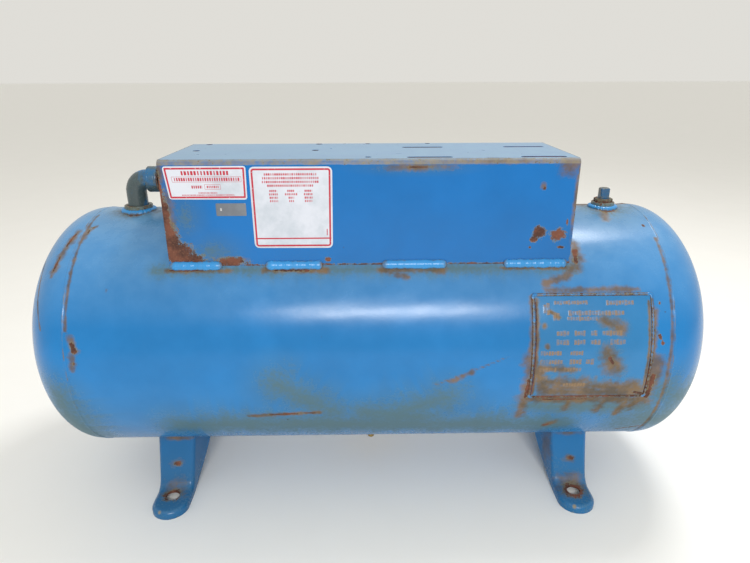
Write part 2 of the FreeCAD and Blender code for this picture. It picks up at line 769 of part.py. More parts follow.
def draw_behind_foot(sketch):
    """What is cut away under the arched free edge of the foot."""
    start = ("-Sizes.foot_arch_front_y", "0")
    end = ("-Sizes.foot_arch_back_y", "Sizes.foot_arch_high")
    low = ("-Sizes.foot_arch_front_y", "-Sizes.foot_trim")
    far_low = ("Sizes.foot_trim - Sizes.foot_back_y", "-Sizes.foot_trim")
    far_high = ("Sizes.foot_trim - Sizes.foot_back_y", "Sizes.foot_arch_high")
    radius = number("Sizes.foot_arch_radius")
    first, last = vector(start), vector(end)
    middle = (first + last) * 0.5
    along = last - first
    rise = math.sqrt(radius ** 2 - (along.Length / 2) ** 2)
    normal = FreeCAD.Vector(-along.y, along.x, 0).normalize()
    centre = middle + normal * rise
    start_angle = math.atan2(first.y - centre.y, first.x - centre.x)
    end_angle = math.atan2(last.y - centre.y, last.x - centre.x)
    arch = draw_arc(sketch, centre, radius, start_angle, end_angle)
    corners = (end, far_high, far_low, low, start)
    lines = []
    for here, there in zip(corners[:-1], corners[1:]):
        lines.append(draw_line(sketch, vector(here), vector(there)))
    sketch.addConstraint(Sketcher.Constraint("Coincident", arch, 2, lines[0], 1))
    sketch.addConstraint(Sketcher.Constraint("Coincident", arch, 1, lines[-1], 2))
    for before, after, where in zip(lines[:-1], lines[1:], corners[1:-1]):
        sketch.addConstraint(Sketcher.Constraint("Coincident", before, 2, after, 1))
        hold_point(sketch, after, 1, where)
    hold_point(sketch, arch, 1, start)
    hold_point(sketch, arch, 2, end)
    hold_radius(sketch, arch, "Sizes.foot_arch_radius")


def make_foot(node, x, turn):
    body = new_body(node, (x, "0", "0"), turn)
    plan = new_sketch(body, "XY_Plane")
    draw_foot_plan(plan)
    pad(body, plan, "Sizes.foot_high")
    above = new_sketch(body, "YZ_Plane")
    draw_above_foot(above)
    leg = pocket(body, above, symmetric=True)
    pad_top = number("Sizes.foot_pad_top")
    web_y = number("Sizes.foot_web_y")
    inner_corner = edges_where(leg, lambda edge: (
        abs(edge.CenterOfMass.z - pad_top) < CLOSE and abs(edge.CenterOfMass.x) < CLOSE
        and abs(edge.CenterOfMass.y + web_y) < CLOSE
    ))
    leg = fillet(body, leg, inner_corner, "Sizes.foot_web_bend")
    toe_rim = edges_where(leg, lambda edge: (
        abs(edge.CenterOfMass.z - pad_top) < CLOSE and edge.CenterOfMass.y < -web_y
        and edge.BoundBox.ZLength < CLOSE and edge.BoundBox.YLength > CLOSE
    ))
    leg = fillet(body, leg, toe_rim, "Sizes.foot_rim")
    behind = new_sketch(body, "YZ_Plane")
    draw_behind_foot(behind)
    leg = pocket(body, behind, symmetric=True)
    high = number("Sizes.foot_high")
    back = -number("Sizes.foot_back_y")
    arch_radius = number("Sizes.foot_arch_radius")
    arch_high = number("Sizes.foot_arch_high")
    open_faces = faces_where(leg, lambda face: (
        (face.BoundBox.ZLength < CLOSE and (face.BoundBox.ZMin > high - CLOSE or face.BoundBox.ZMax < CLOSE))
        or (face.BoundBox.YLength < CLOSE and face.BoundBox.YMin > back - CLOSE)
        or (isinstance(face.Surface, Part.Cylinder) and abs(face.Surface.Radius - arch_radius) < CLOSE)
        or (face.BoundBox.ZLength < CLOSE and abs(face.BoundBox.ZMin - arch_high) < CLOSE)
    ))
    skin = body.newObject("PartDesign::Thickness", "Thickness")
    skin.Base = (leg, open_faces)
    skin.Reversed = True
    skin.Mode = "Skin"
    skin.Join = "Arc"
    skin.setExpression("Value", "Sizes.foot_plate")
    doc.recompute()
    bolt_hole = new_sketch(body, "XY_Plane")
    draw_circle(bolt_hole, ("0", "-Sizes.foot_hole_y"), "Sizes.foot_hole")
    pocket(body, bolt_hole, upward=True)
    round_of_tank = new_sketch(body, "YZ_Plane")
    draw_circle(round_of_tank, ("0", "Sizes.axis_height"), "Sizes.tank_radius")
    pocket(body, round_of_tank, symmetric=True)
    return body


def make_foot_bead(node, foot, x, side, turn):
    """A bead up one side of a foot, along the round of the tank."""
    lean = math.radians(number("Sizes.foot_bead_turn"))
    start = math.radians(-number("Sizes.foot_bead_start"))
    along = FreeCAD.Vector(side * math.sin(lean), math.cos(lean), 0)
    up = FreeCAD.Vector(0, 0, 1)
    outward = along * math.sin(start) - up * math.cos(start)
    onward = along * math.cos(start) + up * math.sin(start)
    bead_turn = turn.multiply(FreeCAD.Rotation(outward, onward, outward.cross(onward), "XYZ"))
    reach = side if turn.isIdentity() else -side
    bead = solid(
        "Torus",
        ("%s + %d * Sizes.foot_bead_reach" % (x, reach), "0", "Sizes.axis_height"),
        bead_turn,
        Radius1="Sizes.tank_radius",
        Radius2="Sizes.foot_bead",
        Angle3="Sizes.foot_bead_sweep",
    )
    finished(without(without(bead, tank_solid()), foot), node)


# Plates and labels.


def plate_sector(rise, margin):
    """A round-backed slab over the plate's place, from the tank's axis out."""
    top = "(Sizes.plate_top_angle + %s * 180 / (pi * Sizes.tank_radius))" % margin
    angle = math.radians(number(top))
    outward = FreeCAD.Vector(0, -math.cos(angle), math.sin(angle))
    downward = FreeCAD.Vector(0, -math.sin(angle), -math.cos(angle))
    turn = FreeCAD.Rotation(outward, downward, outward.cross(downward), "XYZ")
    return solid(
        "Cylinder",
        ("Sizes.plate_left_x - %s" % margin, "0", "Sizes.axis_height"),
        turn,
        Radius="Sizes.tank_radius + " + rise,
        Height="Sizes.plate_right_x - Sizes.plate_left_x + 2 * %s" % margin,
        Angle="Sizes.plate_sweep + 2 * %s * 180 / (pi * Sizes.tank_radius)" % margin,
    )


def make_data_plate():
    finished(without(plate_sector("Sizes.plate_rise", "0"), tank_solid()), "data_plate")
    border = plate_sector("Sizes.frame_rise", "Sizes.frame_width")
    finished(without(border, plate_sector("2 * Sizes.frame_rise", "0"), tank_solid()), "data_plate_weld")


def make_label(node, left, right, low, high):
    finished(
        solid(
            "Box",
            (str(left), "-Sizes.base_front - Sizes.label_thick", "Sizes.axis_height + %s" % low),
            Length=str(right - left),
            Width="Sizes.label_thick",
            Height=str(high - low),
        ),
        node,
    )


for part_name, x_side, head_turn in (("left", "-1", AGAINST_X), ("right", "1", ALONG_X)):
    make_head(part_name, x_side, head_turn)
    make_seam(part_name, x_side, head_turn)
make_shell()
make_long_seam()
make_base()
for count, (bead_start, bead_end) in enumerate(FRONT_BEADS, start=1):
    make_base_bead("base_weld_front_%d" % count, bead_start, bead_end, "Sizes.base_front", -1)
for count, (bead_start, bead_end) in enumerate(REAR_BEADS, start=1):
    make_base_bead("base_weld_rear_%d" % count, bead_start, bead_end, "Sizes.base_back", 1)
boss("port_boss_left", "Sizes.port_left_x", "Sizes.boss_left_r", "Sizes.boss_left_bore")
boss("port_boss_right", "Sizes.port_right_x", "Sizes.boss_right_r", "Sizes.boss_right_bore")
boss_weld("port_weld_left", "Sizes.port_left_x", "Sizes.boss_left_r")
boss_weld("port_weld_right", "Sizes.port_right_x", "Sizes.boss_right_r")
make_elbow()
make_plug()
make_drain()
HALF_TURN = FreeCAD.Rotation(FreeCAD.Vector(0, 0, 1), 180)
for end_name, foot_x in (("left", "Sizes.foot_left_x"), ("right", "Sizes.foot_right_x")):
    for depth_name, foot_turn in (("front_", FreeCAD.Rotation()), ("rear_", HALF_TURN)):
        foot = make_foot("foot_" + depth_name + end_name, foot_x, foot_turn)
        for side_name, bead_side in (("low_x", -1), ("high_x", 1)):
            node_name = "foot_weld_%s%s_%s" % (depth_name, end_name, side_name)
            make_foot_bead(node_name, foot, foot_x, bead_side, foot_turn)
make_data_plate()
for label_name, (label_left, label_right, label_low, label_high) in LABELS.items():
    make_label(label_name, label_left, label_right, label_low, label_high)

doc.recompute()
for thing in doc.Objects:
    if "Invalid" in thing.State or "Error" in thing.State:
        raise RuntimeError("%s (%s) failed: %s" % (thing.Name, thing.Label, thing.State))
os.makedirs("parts", exist_ok=True)
for piece in pieces:
    shape = piece.Shape
    if shape.isNull() or not shape.isValid() or not shape.Solids:
        raise RuntimeError("%s has no valid solid" % piece.Label)
    print("%-26s %10.0f mm3  %d solid" % (piece.Label, shape.Volume, len(shape.Solids)))
    shape.exportStep("parts/%s.step" % piece.Label)
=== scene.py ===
import math
import bmesh
import bpy
import numpy as np
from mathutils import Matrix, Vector


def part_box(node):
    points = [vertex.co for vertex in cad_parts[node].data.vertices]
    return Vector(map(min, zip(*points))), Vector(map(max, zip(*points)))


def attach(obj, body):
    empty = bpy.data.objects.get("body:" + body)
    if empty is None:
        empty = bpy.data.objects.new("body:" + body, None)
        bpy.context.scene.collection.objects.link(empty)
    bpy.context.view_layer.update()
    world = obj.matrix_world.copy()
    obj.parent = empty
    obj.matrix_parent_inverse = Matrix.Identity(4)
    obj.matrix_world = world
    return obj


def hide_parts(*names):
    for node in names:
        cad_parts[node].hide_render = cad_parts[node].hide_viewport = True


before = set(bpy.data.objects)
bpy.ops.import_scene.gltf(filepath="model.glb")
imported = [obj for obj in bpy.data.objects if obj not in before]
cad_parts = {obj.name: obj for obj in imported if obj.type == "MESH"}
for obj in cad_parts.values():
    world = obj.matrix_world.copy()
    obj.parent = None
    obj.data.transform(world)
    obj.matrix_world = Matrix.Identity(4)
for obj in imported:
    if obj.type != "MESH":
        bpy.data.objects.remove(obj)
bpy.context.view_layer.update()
print("stage: frame loaded")

# places that every piece is set out from, read off the frame
shellLow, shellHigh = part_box("tank_shell")
axisZ = (shellLow.z + shellHigh.z) / 2
tankRadius = (shellHigh.z - shellLow.z) / 2
shellHalf = shellHigh.x
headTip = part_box("head_right")[1].x
headDepth = 0.1016  # an elliptical head is half as deep as the tank's radius
headRim = headTip - headDepth  # where the dome starts
baseLow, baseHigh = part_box("motor_base")


def gridFaces(rows, columns, wrapRows):
    # four-sided faces of a grid whose columns close on themselves
    i = np.arange(rows if wrapRows else rows - 1)[:, None] * np.ones(columns, int)
    j = np.arange(columns)[None, :] * np.ones_like(i)
    nextI, nextJ = (i + 1) % rows, (j + 1) % columns
    corners = [i * columns + j, i * columns + nextJ, nextI * columns + nextJ, nextI * columns + j]
    return np.stack(corners, -1).reshape(-1, 4)


def signedVolume(points, triangles):
    # a sixth of the sum of every triangle's triple product, positive when faces point outwards
    a, b, c = (points[triangles[:, k]] for k in range(3))
    return float(np.einsum("ij,ij->i", a, np.cross(b, c)).sum() / 6)


def makePiece(name, points, material, nodes, wrapRows=False, fields=None, body="tank",
              sharp=38, uv=None):
    # a closed surface from a grid of points: columns wrap round, and rows wrap too or end in a pole
    rows, columns, _ = points.shape
    flat = points.reshape(-1, 3)
    quads = gridFaces(rows, columns, wrapRows)
    fans = np.zeros((0, 3), int)
    extra = {word: values.reshape(-1) for word, values in (fields or {}).items()}
    if not wrapRows:
        ring = np.arange(columns)
        first, last, start = len(flat), len(flat) + 1, (rows - 1) * columns
        onward = (ring + 1) % columns
        fans = np.concatenate([
            np.stack([np.full(columns, first), onward, ring], -1),
            np.stack([np.full(columns, last), start + ring, start + onward], -1),
        ])
        flat = np.concatenate([flat, points[:1].mean(1), points[-1:].mean(1)])
        extra = {word: np.concatenate([v, v[:1], v[-1:]]) for word, v in extra.items()}
        if uv is not None:
            uv = np.concatenate([uv.reshape(-1, 2), uv[0].mean(0)[None], uv[-1].mean(0)[None]])
    split = np.concatenate([quads[:, [0, 1, 2]], quads[:, [0, 2, 3]], fans])
    if signedVolume(flat, split) < 0:
        quads, fans = quads[:, ::-1], fans[:, ::-1]
    mesh = bpy.data.meshes.new(name)
    mesh.from_pydata(flat.tolist(), [], quads.tolist() + fans.tolist())
    for word, values in extra.items():
        mesh.attributes.new(word, "FLOAT", "POINT").data.foreach_set("value", values.astype(np.float32))
    if uv is not None:
        corner = np.zeros(len(mesh.loops), np.int32)
        mesh.loops.foreach_get("vertex_index", corner)
        layer = mesh.uv_layers.new(name="UVMap")
        layer.data.foreach_set("uv", uv.reshape(-1, 2)[corner].astype(np.float32).ravel())
    return settle(name, mesh, material, nodes, body, sharp)


def settle(name, mesh, material, nodes, body, sharp):
    # shade it, give it its finish, and tie it to the frame
    mesh.polygons.foreach_set("use_smooth", np.ones(len(mesh.polygons), bool))
    mesh.set_sharp_from_angle(angle=math.radians(sharp))
    mesh.materials.append(material)
    piece = bpy.data.objects.new(name, mesh)
    bpy.context.scene.collection.objects.link(piece)
    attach(piece, body)
    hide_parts(*nodes)
    return piece


def softCopy(node, material, bevel, body="tank", sharp=32):
    # the node's own shape with its loose triangles merged and its edges rounded over
    work = bmesh.new()
    work.from_mesh(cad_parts[node].data)
    bmesh.ops.remove_doubles(work, verts=work.verts, dist=2e-6)
    bmesh.ops.dissolve_limit(work, angle_limit=math.radians(0.3), verts=work.verts, edges=work.edges)
    mesh = bpy.data.meshes.new(node + "_finish")
    work.verts.index_update()
    mesh.from_pydata([v.co[:] for v in work.verts], [], [[v.index for v in f.verts] for f in work.faces])
    work.free()
    piece = settle(node + "_finish", mesh, material, [node], body, sharp)
    rounding = piece.modifiers.new("roundedEdges", "BEVEL")
    rounding.width = bevel
    rounding.segments = 2
    rounding.limit_method = "ANGLE"
    rounding.angle_limit = math.radians(sharp)
    rounding.harden_normals = True
    rounding.use_clamp_overlap = True
    return piece


def swell(t, seed, waves=4):
    # smooth unevenness between -1 and 1: a few sine waves of unrelated length, added
    steps = np.arange(1, waves + 1)
    phases = np.sin(seed * 12.9898 + steps * 78.233) * 43.7585
    return sum(np.sin(t * (0.73 * k + 0.31 * k * k) + p) for k, p in zip(steps, phases)) / waves


def turned(profile, count):
    # a profile of (along X, radius) pairs turned about the tank's axis
    angle = np.linspace(0, 2 * np.pi, count, endpoint=False)
    x, r = profile[:, :1], profile[:, 1:]
    return np.stack([x + 0 * angle, -r * np.cos(angle), axisZ + r * np.sin(angle)], -1)


def upright(centreX, centreY, profile, count, shape=None):
    # a profile of (height, radius) pairs turned about a vertical line; shape caps the radius at each angle
    angle = np.linspace(0, 2 * np.pi, count, endpoint=False)
    z, r = profile[:, :1], profile[:, 1:] + 0 * angle
    if shape is not None:
        r = np.minimum(r, shape(angle))
    return np.stack([centreX + r * np.cos(angle), centreY + r * np.sin(angle), z + 0 * angle], -1)


def manySided(sides, flat, corner):
    # distance from the middle to a polygon's side, never past the rounded corner
    def radius(angle):
        step = 2 * np.pi / sides
        off = (angle + step / 2) % step - step / 2
        return np.minimum(flat / np.cos(off), corner)
    return radius


def domeRadius(x):
    # half ellipse past the rim, straight before it
    past = np.clip((np.abs(x) - headRim) / (headTip - headRim), 0, 1)
    return tankRadius * np.sqrt(1 - past ** 2)


profileX = np.linspace(0, headTip, 3000)
profileLength = np.concatenate([[0], np.cumsum(np.hypot(np.diff(profileX), np.diff(domeRadius(profileX))))])


def alongSkin(x):
    # distance from the middle of the tank, measured along its skin
    return np.sign(x) * np.interp(np.abs(x), profileX, profileLength)


def nearStrokes(points, strokes):
    # on the unrolled skin: 1 on a stroke's line, a half at its width and 0 at twice that; the greatest of all
    x, y, z = points[..., 0], -points[..., 1], points[..., 2] - axisZ
    place, degrees, radius = alongSkin(x), np.degrees(np.arctan2(z, y)), np.hypot(y, z)
    field = np.zeros(x.shape)
    for startX, startAngle, endX, endAngle, width in strokes:
        start, end = alongSkin(startX), alongSkin(endX)
        turn = (degrees - (startAngle + endAngle) / 2 + 180) % 360 - 180
        px, py = place - (start + end) / 2, np.radians(turn) * radius
        halfX = (end - start) / 2
        halfY = math.radians(endAngle - startAngle) / 2 * float(domeRadius((startX + endX) / 2))
        t = np.clip((px * halfX + py * halfY) / max(halfX ** 2 + halfY ** 2, 1e-12), -1, 1)
        # the width wanders along the stroke, so no two ends or sides look alike
        wander = 1 + 0.42 * swell(t * math.hypot(halfX, halfY) * 70, startX * 40 + startAngle)
        field = np.maximum(field, 1 - 0.5 * np.hypot(px - t * halfX, py - t * halfY) / (width * wander))
    return field


def plug(tree, value, socket):
    # link a socket to a socket, or write a plain value into it
    if isinstance(value, bpy.types.NodeSocket):
        tree.links.new(value, socket)
    elif socket.type == "RGBA" and len(value) == 3:
        socket.default_value = (*value, 1)
    else:
        socket.default_value = value


def put(tree, kind, values, **settings):
    # a new node with its settings and its inputs filled
    node = tree.nodes.new(kind)
    for word, value in settings.items():
        setattr(node, word, value)
    for word, value in values.items():
        plug(tree, value, node.inputs[word])
    return node


def calc(tree, operation, first, second=0.0, third=0.0, clamp=False):
    # one step of arithmetic
    values = {0: first, 1: second, 2: third}
    return put(tree, "ShaderNodeMath", values, operation=operation, use_clamp=clamp).outputs[0]


def mixTones(tree, share, first, second, how="MIX"):
    # first colour where the share is 0, second where it is 1
    values = {0: share, 6: first, 7: second}
    return put(tree, "ShaderNodeMix", values, data_type="RGBA", blend_type=how).outputs[2]


def mixValues(tree, share, first, second):
    # first number where the share is 0, second where it is 1
    return put(tree, "ShaderNodeMix", {0: share, 2: first, 3: second}).outputs[0]


def ramp(tree, value, low, high, start=0.0, end=1.0):
    # an S-shaped rise from start to end while the value goes from low to high
    values = {0: value, 1: low, 2: high, 3: start, 4: end}
    return put(tree, "ShaderNodeMapRange", values, interpolation_type="SMOOTHSTEP").outputs[0]


def noise(tree, vector, scale, detail=4.0, rough=0.55):
    # cloudy noise about a half, scale in lumps per metre
    values = {"Vector": vector, "Scale": scale, "Detail": detail, "Roughness": rough}
    return put(tree, "ShaderNodeTexNoise", values).outputs["Fac"]


def vectorSum(tree, operation, first, second):
    # one step of arithmetic on two places
    return put(tree, "ShaderNodeVectorMath", {0: first, 1: second}, operation=operation)


def startGroup(name, takes, gives):
    # an empty shared effect with named inputs and outputs
    tree = bpy.data.node_groups.new(name, "ShaderNodeTree")
    for word, kind, value in takes:
        socket = tree.interface.new_socket(name=word, in_out="INPUT", socket_type="NodeSocket" + kind)
        socket.default_value = value
    for word, kind in gives:
        tree.interface.new_socket(name=word, in_out="OUTPUT", socket_type="NodeSocket" + kind)
    return tree, tree.nodes.new("NodeGroupInput").outputs, tree.nodes.new("NodeGroupOutput").inputs


def useGroup(tree, shared, values):
    # a shared effect placed in a material with its own values
    node = tree.nodes.new("ShaderNodeGroup")
    node.node_tree = shared
    for word, value in values.items():
        plug(tree, value, node.inputs[word])
    return node.outputs


def tone(red, green, blue):
    # screen colour, 0 to 255, as the linear light a shader takes
    parts = [c / 255 for c in (red, green, blue)]
    return (*[c / 12.92 if c <= 0.04045 else ((c + 0.055) / 1.055) ** 2.4 for c in parts], 1)


def objectPlace(tree):
    # where a point is, in metres
    return tree.nodes.new("ShaderNodeTexCoord").outputs["Object"]


def ownValue(tree, word):
    # a value that the piece carries at each of its points
    return put(tree, "ShaderNodeAttribute", {}, attribute_name=word).outputs["Fac"]


def makeSpotGroup():
    # 1 in the middle of an egg-shaped spot, a half at its edge, 0 at twice its size
    tree, takes, gives = startGroup(
        "wearSpot",
        [("Vector", "Vector", (0, 0, 0)), ("Centre", "Vector", (0, 0, 0)), ("Reach", "Vector", (1, 1, 1))],
        [("Field", "Float")],
    )
    away = vectorSum(tree, "SUBTRACT", takes["Vector"], takes["Centre"]).outputs[0]
    scaled = vectorSum(tree, "DIVIDE", away, takes["Reach"]).outputs[0]
    length = put(tree, "ShaderNodeVectorMath", {0: scaled}, operation="LENGTH").outputs["Value"]
    plug(tree, calc(tree, "MULTIPLY_ADD", length, -0.5, 1.0, clamp=True), gives["Field"])
    return tree


rustTones = {
    "deep": tone(72, 44, 36),
    "middle": tone(112, 68, 52),
    "pale": tone(142, 104, 78),
    "rim": tone(128, 128, 96),
}


def makeRustGroup():
    # rust where a smooth field, roughened by noise, passes a half; a paler rim runs just outside it
    tree, takes, gives = startGroup(
        "flakedRust",
        [("Vector", "Vector", (0, 0, 0)), ("Field", "Float", 0.0), ("Grain", "Float", 90.0)],
        [("Mask", "Float"), ("Rim", "Float"), ("Color", "Color"), ("Height", "Float")],
    )
    vector = takes["Vector"]
    ragged = noise(tree, vector, takes["Grain"], 7.0, 0.68)
    crumbs = noise(tree, vector, calc(tree, "MULTIPLY", takes["Grain"], 4.3), 5.0, 0.7)
    jagged = calc(tree, "SUBTRACT", calc(tree, "ADD", ragged, crumbs), 1.0)
    edge = calc(tree, "ADD", takes["Field"], jagged)
    mask = ramp(tree, edge, 0.46, 0.54)
    rim = calc(tree, "MULTIPLY", ramp(tree, edge, 0.36, 0.47), calc(tree, "SUBTRACT", 1.0, mask))
    broad = noise(tree, vector, 46.0, 5.0, 0.6)
    fine = noise(tree, vector, 420.0, 4.0, 0.7)
    color = mixTones(tree, ramp(tree, broad, 0.38, 0.62), rustTones["deep"], rustTones["middle"])
    powder = calc(tree, "MULTIPLY", ramp(tree, fine, 0.5, 0.72), 0.55)
    color = mixTones(tree, powder, color, rustTones["pale"])
    scale = calc(tree, "MULTIPLY", mask, calc(tree, "MULTIPLY_ADD", fine, 0.9, -0.75))
    for word, value in (("Mask", mask), ("Rim", rim), ("Color", color), ("Height", scale)):
        plug(tree, value, gives[word])
    return tree


paintWear = {
    "fadeTone": tone(164, 194, 200),
    "dirtTone": tone(80, 104, 100),
    "bareTone": tone(150, 138, 112),
    "bareDull": tone(132, 122, 100),
    "stainTone": tone(84, 66, 42),
    "stainPale": tone(122, 94, 56),
    "chipTone": tone(52, 50, 54),
    "gloss": 0.19,
}


def makePaintGroup(rustGroup):
    # enamel that has faded, gathered dirt, rubbed through and rusted, each where its own value is high
    tree, takes, gives = startGroup(
        "agedPaint",
        [("Vector", "Vector", (0, 0, 0)), ("Tone", "Color", tone(60, 140, 205)), ("Fade", "Float", 0.0),
         ("Dirt", "Float", 0.0), ("Stain", "Float", 0.0), ("Bare", "Float", 0.0), ("Rust", "Float", 0.0),
         ("Chips", "Float", 0.5), ("Grain", "Float", 90.0)],
        [("Color", "Color"), ("Roughness", "Float"), ("Height", "Float")],
    )
    vector = takes["Vector"]
    broad = noise(tree, vector, 4.0, 3.0)
    middle = noise(tree, vector, 33.0, 5.0, 0.6)
    fine = noise(tree, vector, 210.0, 4.0, 0.65)
    # the coat is a little thicker or thinner from place to place
    lift = ramp(tree, calc(tree, "ADD", broad, calc(tree, "MULTIPLY", middle, 0.25)), 0.35, 0.85, 0.86, 1.08)
    grey = put(tree, "ShaderNodeCombineColor", {0: lift, 1: lift, 2: lift}).outputs[0]
    color = mixTones(tree, 1.0, takes["Tone"], grey, "MULTIPLY")
    fade = calc(tree, "MULTIPLY", takes["Fade"], ramp(tree, middle, 0.2, 0.75, 0.65, 1.0), clamp=True)
    color = mixTones(tree, fade, color, paintWear["fadeTone"])
    # dirt lies in soft blots with fine specks in them
    clouds = calc(tree, "SUBTRACT", noise(tree, vector, 19.0, 7.0, 0.72), 0.5)
    blots = calc(tree, "ADD", takes["Dirt"], calc(tree, "MULTIPLY", clouds, 0.8))
    specks = calc(tree, "MULTIPLY", calc(tree, "SUBTRACT", fine, 0.5), 1.1)
    dirt = ramp(tree, calc(tree, "ADD", blots, specks), 0.32, 0.95, 0.0, 0.72)
    dirt = calc(tree, "MULTIPLY", dirt, ramp(tree, takes["Dirt"], 0.02, 0.2))
    film = calc(tree, "MULTIPLY", takes["Dirt"], 0.42, clamp=True)
    color = mixTones(tree, film, color, paintWear["dirtTone"])
    color = mixTones(tree, dirt, color, paintWear["dirtTone"])
    # brown run-off: a soft wash that thins out through mottles and fine grain
    mottle = calc(tree, "MULTIPLY", calc(tree, "SUBTRACT", noise(tree, vector, 52.0, 7.0, 0.7), 0.5), 1.5)
    wash = calc(tree, "ADD", takes["Stain"], calc(tree, "MULTIPLY_ADD", specks, 0.35, mottle))
    nearby = ramp(tree, takes["Stain"], 0.03, 0.22)
    wash = calc(tree, "MULTIPLY", ramp(tree, wash, 0.20, 0.96, 0.0, 0.86), nearby)
    share = ramp(tree, middle, 0.35, 0.65)
    stainTone = mixTones(tree, share, paintWear["stainTone"], paintWear["stainPale"])
    color = mixTones(tree, wash, color, stainTone)
    # chips: small dark marks inside some cells of a scatter
    cells = put(tree, "ShaderNodeTexVoronoi", {"Vector": vector, "Scale": 34.0, "Randomness": 1.0})
    chosen = put(tree, "ShaderNodeSeparateColor", {0: cells.outputs["Color"]}).outputs
    size = calc(tree, "MULTIPLY", calc(tree, "MULTIPLY", chosen[0], chosen[1]), 0.125)
    few = calc(tree, "LESS_THAN", chosen[2], calc(tree, "MULTIPLY", takes["Chips"], 0.5))
    ragged = calc(tree, "ADD", cells.outputs["Distance"], calc(tree, "MULTIPLY", specks, 0.05))
    chip = calc(tree, "MULTIPLY", calc(tree, "LESS_THAN", ragged, size), few)
    color = mixTones(tree, calc(tree, "MULTIPLY", chip, 0.85), color, paintWear["chipTone"])
    # rubbed through to primer
    rubNoise = calc(tree, "MULTIPLY", calc(tree, "SUBTRACT", noise(tree, vector, 75.0, 6.0, 0.7), 0.5), 0.7)
    bare = ramp(tree, calc(tree, "ADD", takes["Bare"], rubNoise), 0.32, 0.78, 0.0, 0.92)
    bareTone = mixTones(tree, middle, paintWear["bareTone"], paintWear["bareDull"])
    color = mixTones(tree, bare, color, bareTone)
    rust = useGroup(tree, rustGroup, {"Vector": vector, "Field": takes["Rust"], "Grain": takes["Grain"]})
    color = mixTones(tree, calc(tree, "MULTIPLY", rust["Rim"], 0.75), color, rustTones["rim"])
    color = mixTones(tree, rust["Mask"], color, rust["Color"])
    worn = calc(tree, "MAXIMUM", calc(tree, "MAXIMUM", rust["Mask"], bare), calc(tree, "MULTIPLY", chip, 0.7))
    # roughness: the fresh gloss, duller where it is faded, dirty or stained
    soiled = calc(tree, "MULTIPLY", calc(tree, "ADD", dirt, wash), 0.35)
    satin = calc(tree, "ADD", soiled, calc(tree, "MULTIPLY_ADD", fade, 0.15, paintWear["gloss"]))
    satin = calc(tree, "ADD", satin, calc(tree, "MULTIPLY", middle, 0.1), clamp=True)
    peel = calc(tree, "MULTIPLY", noise(tree, vector, 170.0, 2.0), 0.10)
    height = calc(tree, "ADD", peel, calc(tree, "MULTIPLY_ADD", worn, -0.35, rust["Height"]))
    plug(tree, color, gives["Color"])
    plug(tree, mixValues(tree, worn, satin, 0.82), gives["Roughness"])
    plug(tree, height, gives["Height"])
    return tree


def startMaterial(name):
    # a new material, its tree and its own shader
    material = bpy.data.materials.new(name)
    material.use_nodes = True
    shader = material.node_tree.nodes["Principled BSDF"]
    return material, material.node_tree, shader


def finishPaint(tree, shader, paint, depth=0.0006, strength=0.6):
    # the group's height becomes a bump that feeds the shader's normal
    bump = put(tree, "ShaderNodeBump", {"Height": paint["Height"], "Strength": strength, "Distance": depth})
    shader.inputs["Specular IOR Level"].default_value = 0.4
    plug(tree, paint["Color"], shader.inputs["Base Color"])
    plug(tree, paint["Roughness"], shader.inputs["Roughness"])
    plug(tree, bump.outputs["Normal"], shader.inputs["Normal"])


def spotField(tree, place, spots):
    # the greatest of several egg-shaped spots
    field = 0.0
    for centre, reach in spots:
        spot = useGroup(tree, spotGroup, {"Vector": place, "Centre": centre, "Reach": reach})["Field"]
        field = calc(tree, "MAXIMUM", field, spot)
    return field


def upward(tree):
    # how far a face looks up: 1 on a level top, 0 on a wall
    normal = tree.nodes.new("ShaderNodeNewGeometry").outputs["Normal"]
    return put(tree, "ShaderNodeSeparateXYZ", {0: normal}).outputs["Z"]


blue = {
    "tank": tone(0, 113, 180),
    "base": tone(0, 102, 172),
    # foot: darker than the tank's blue, painted shade of the feet under the tank
    "foot": tone(0, 100, 158),
    # weld: lighter than the tank's blue, a painted highlight of the bead crowns
    "weld": tone(24, 136, 206),
    "boss": tone(92, 134, 156),
    "fitting": tone(20, 98, 150),
    "plug": tone(0, 92, 144),
    "plate": tone(4, 112, 172),
}
spotGroup = makeSpotGroup()
rustGroup = makeRustGroup()
paintGroup = makePaintGroup(rustGroup)
print("stage: shared finishes ready")


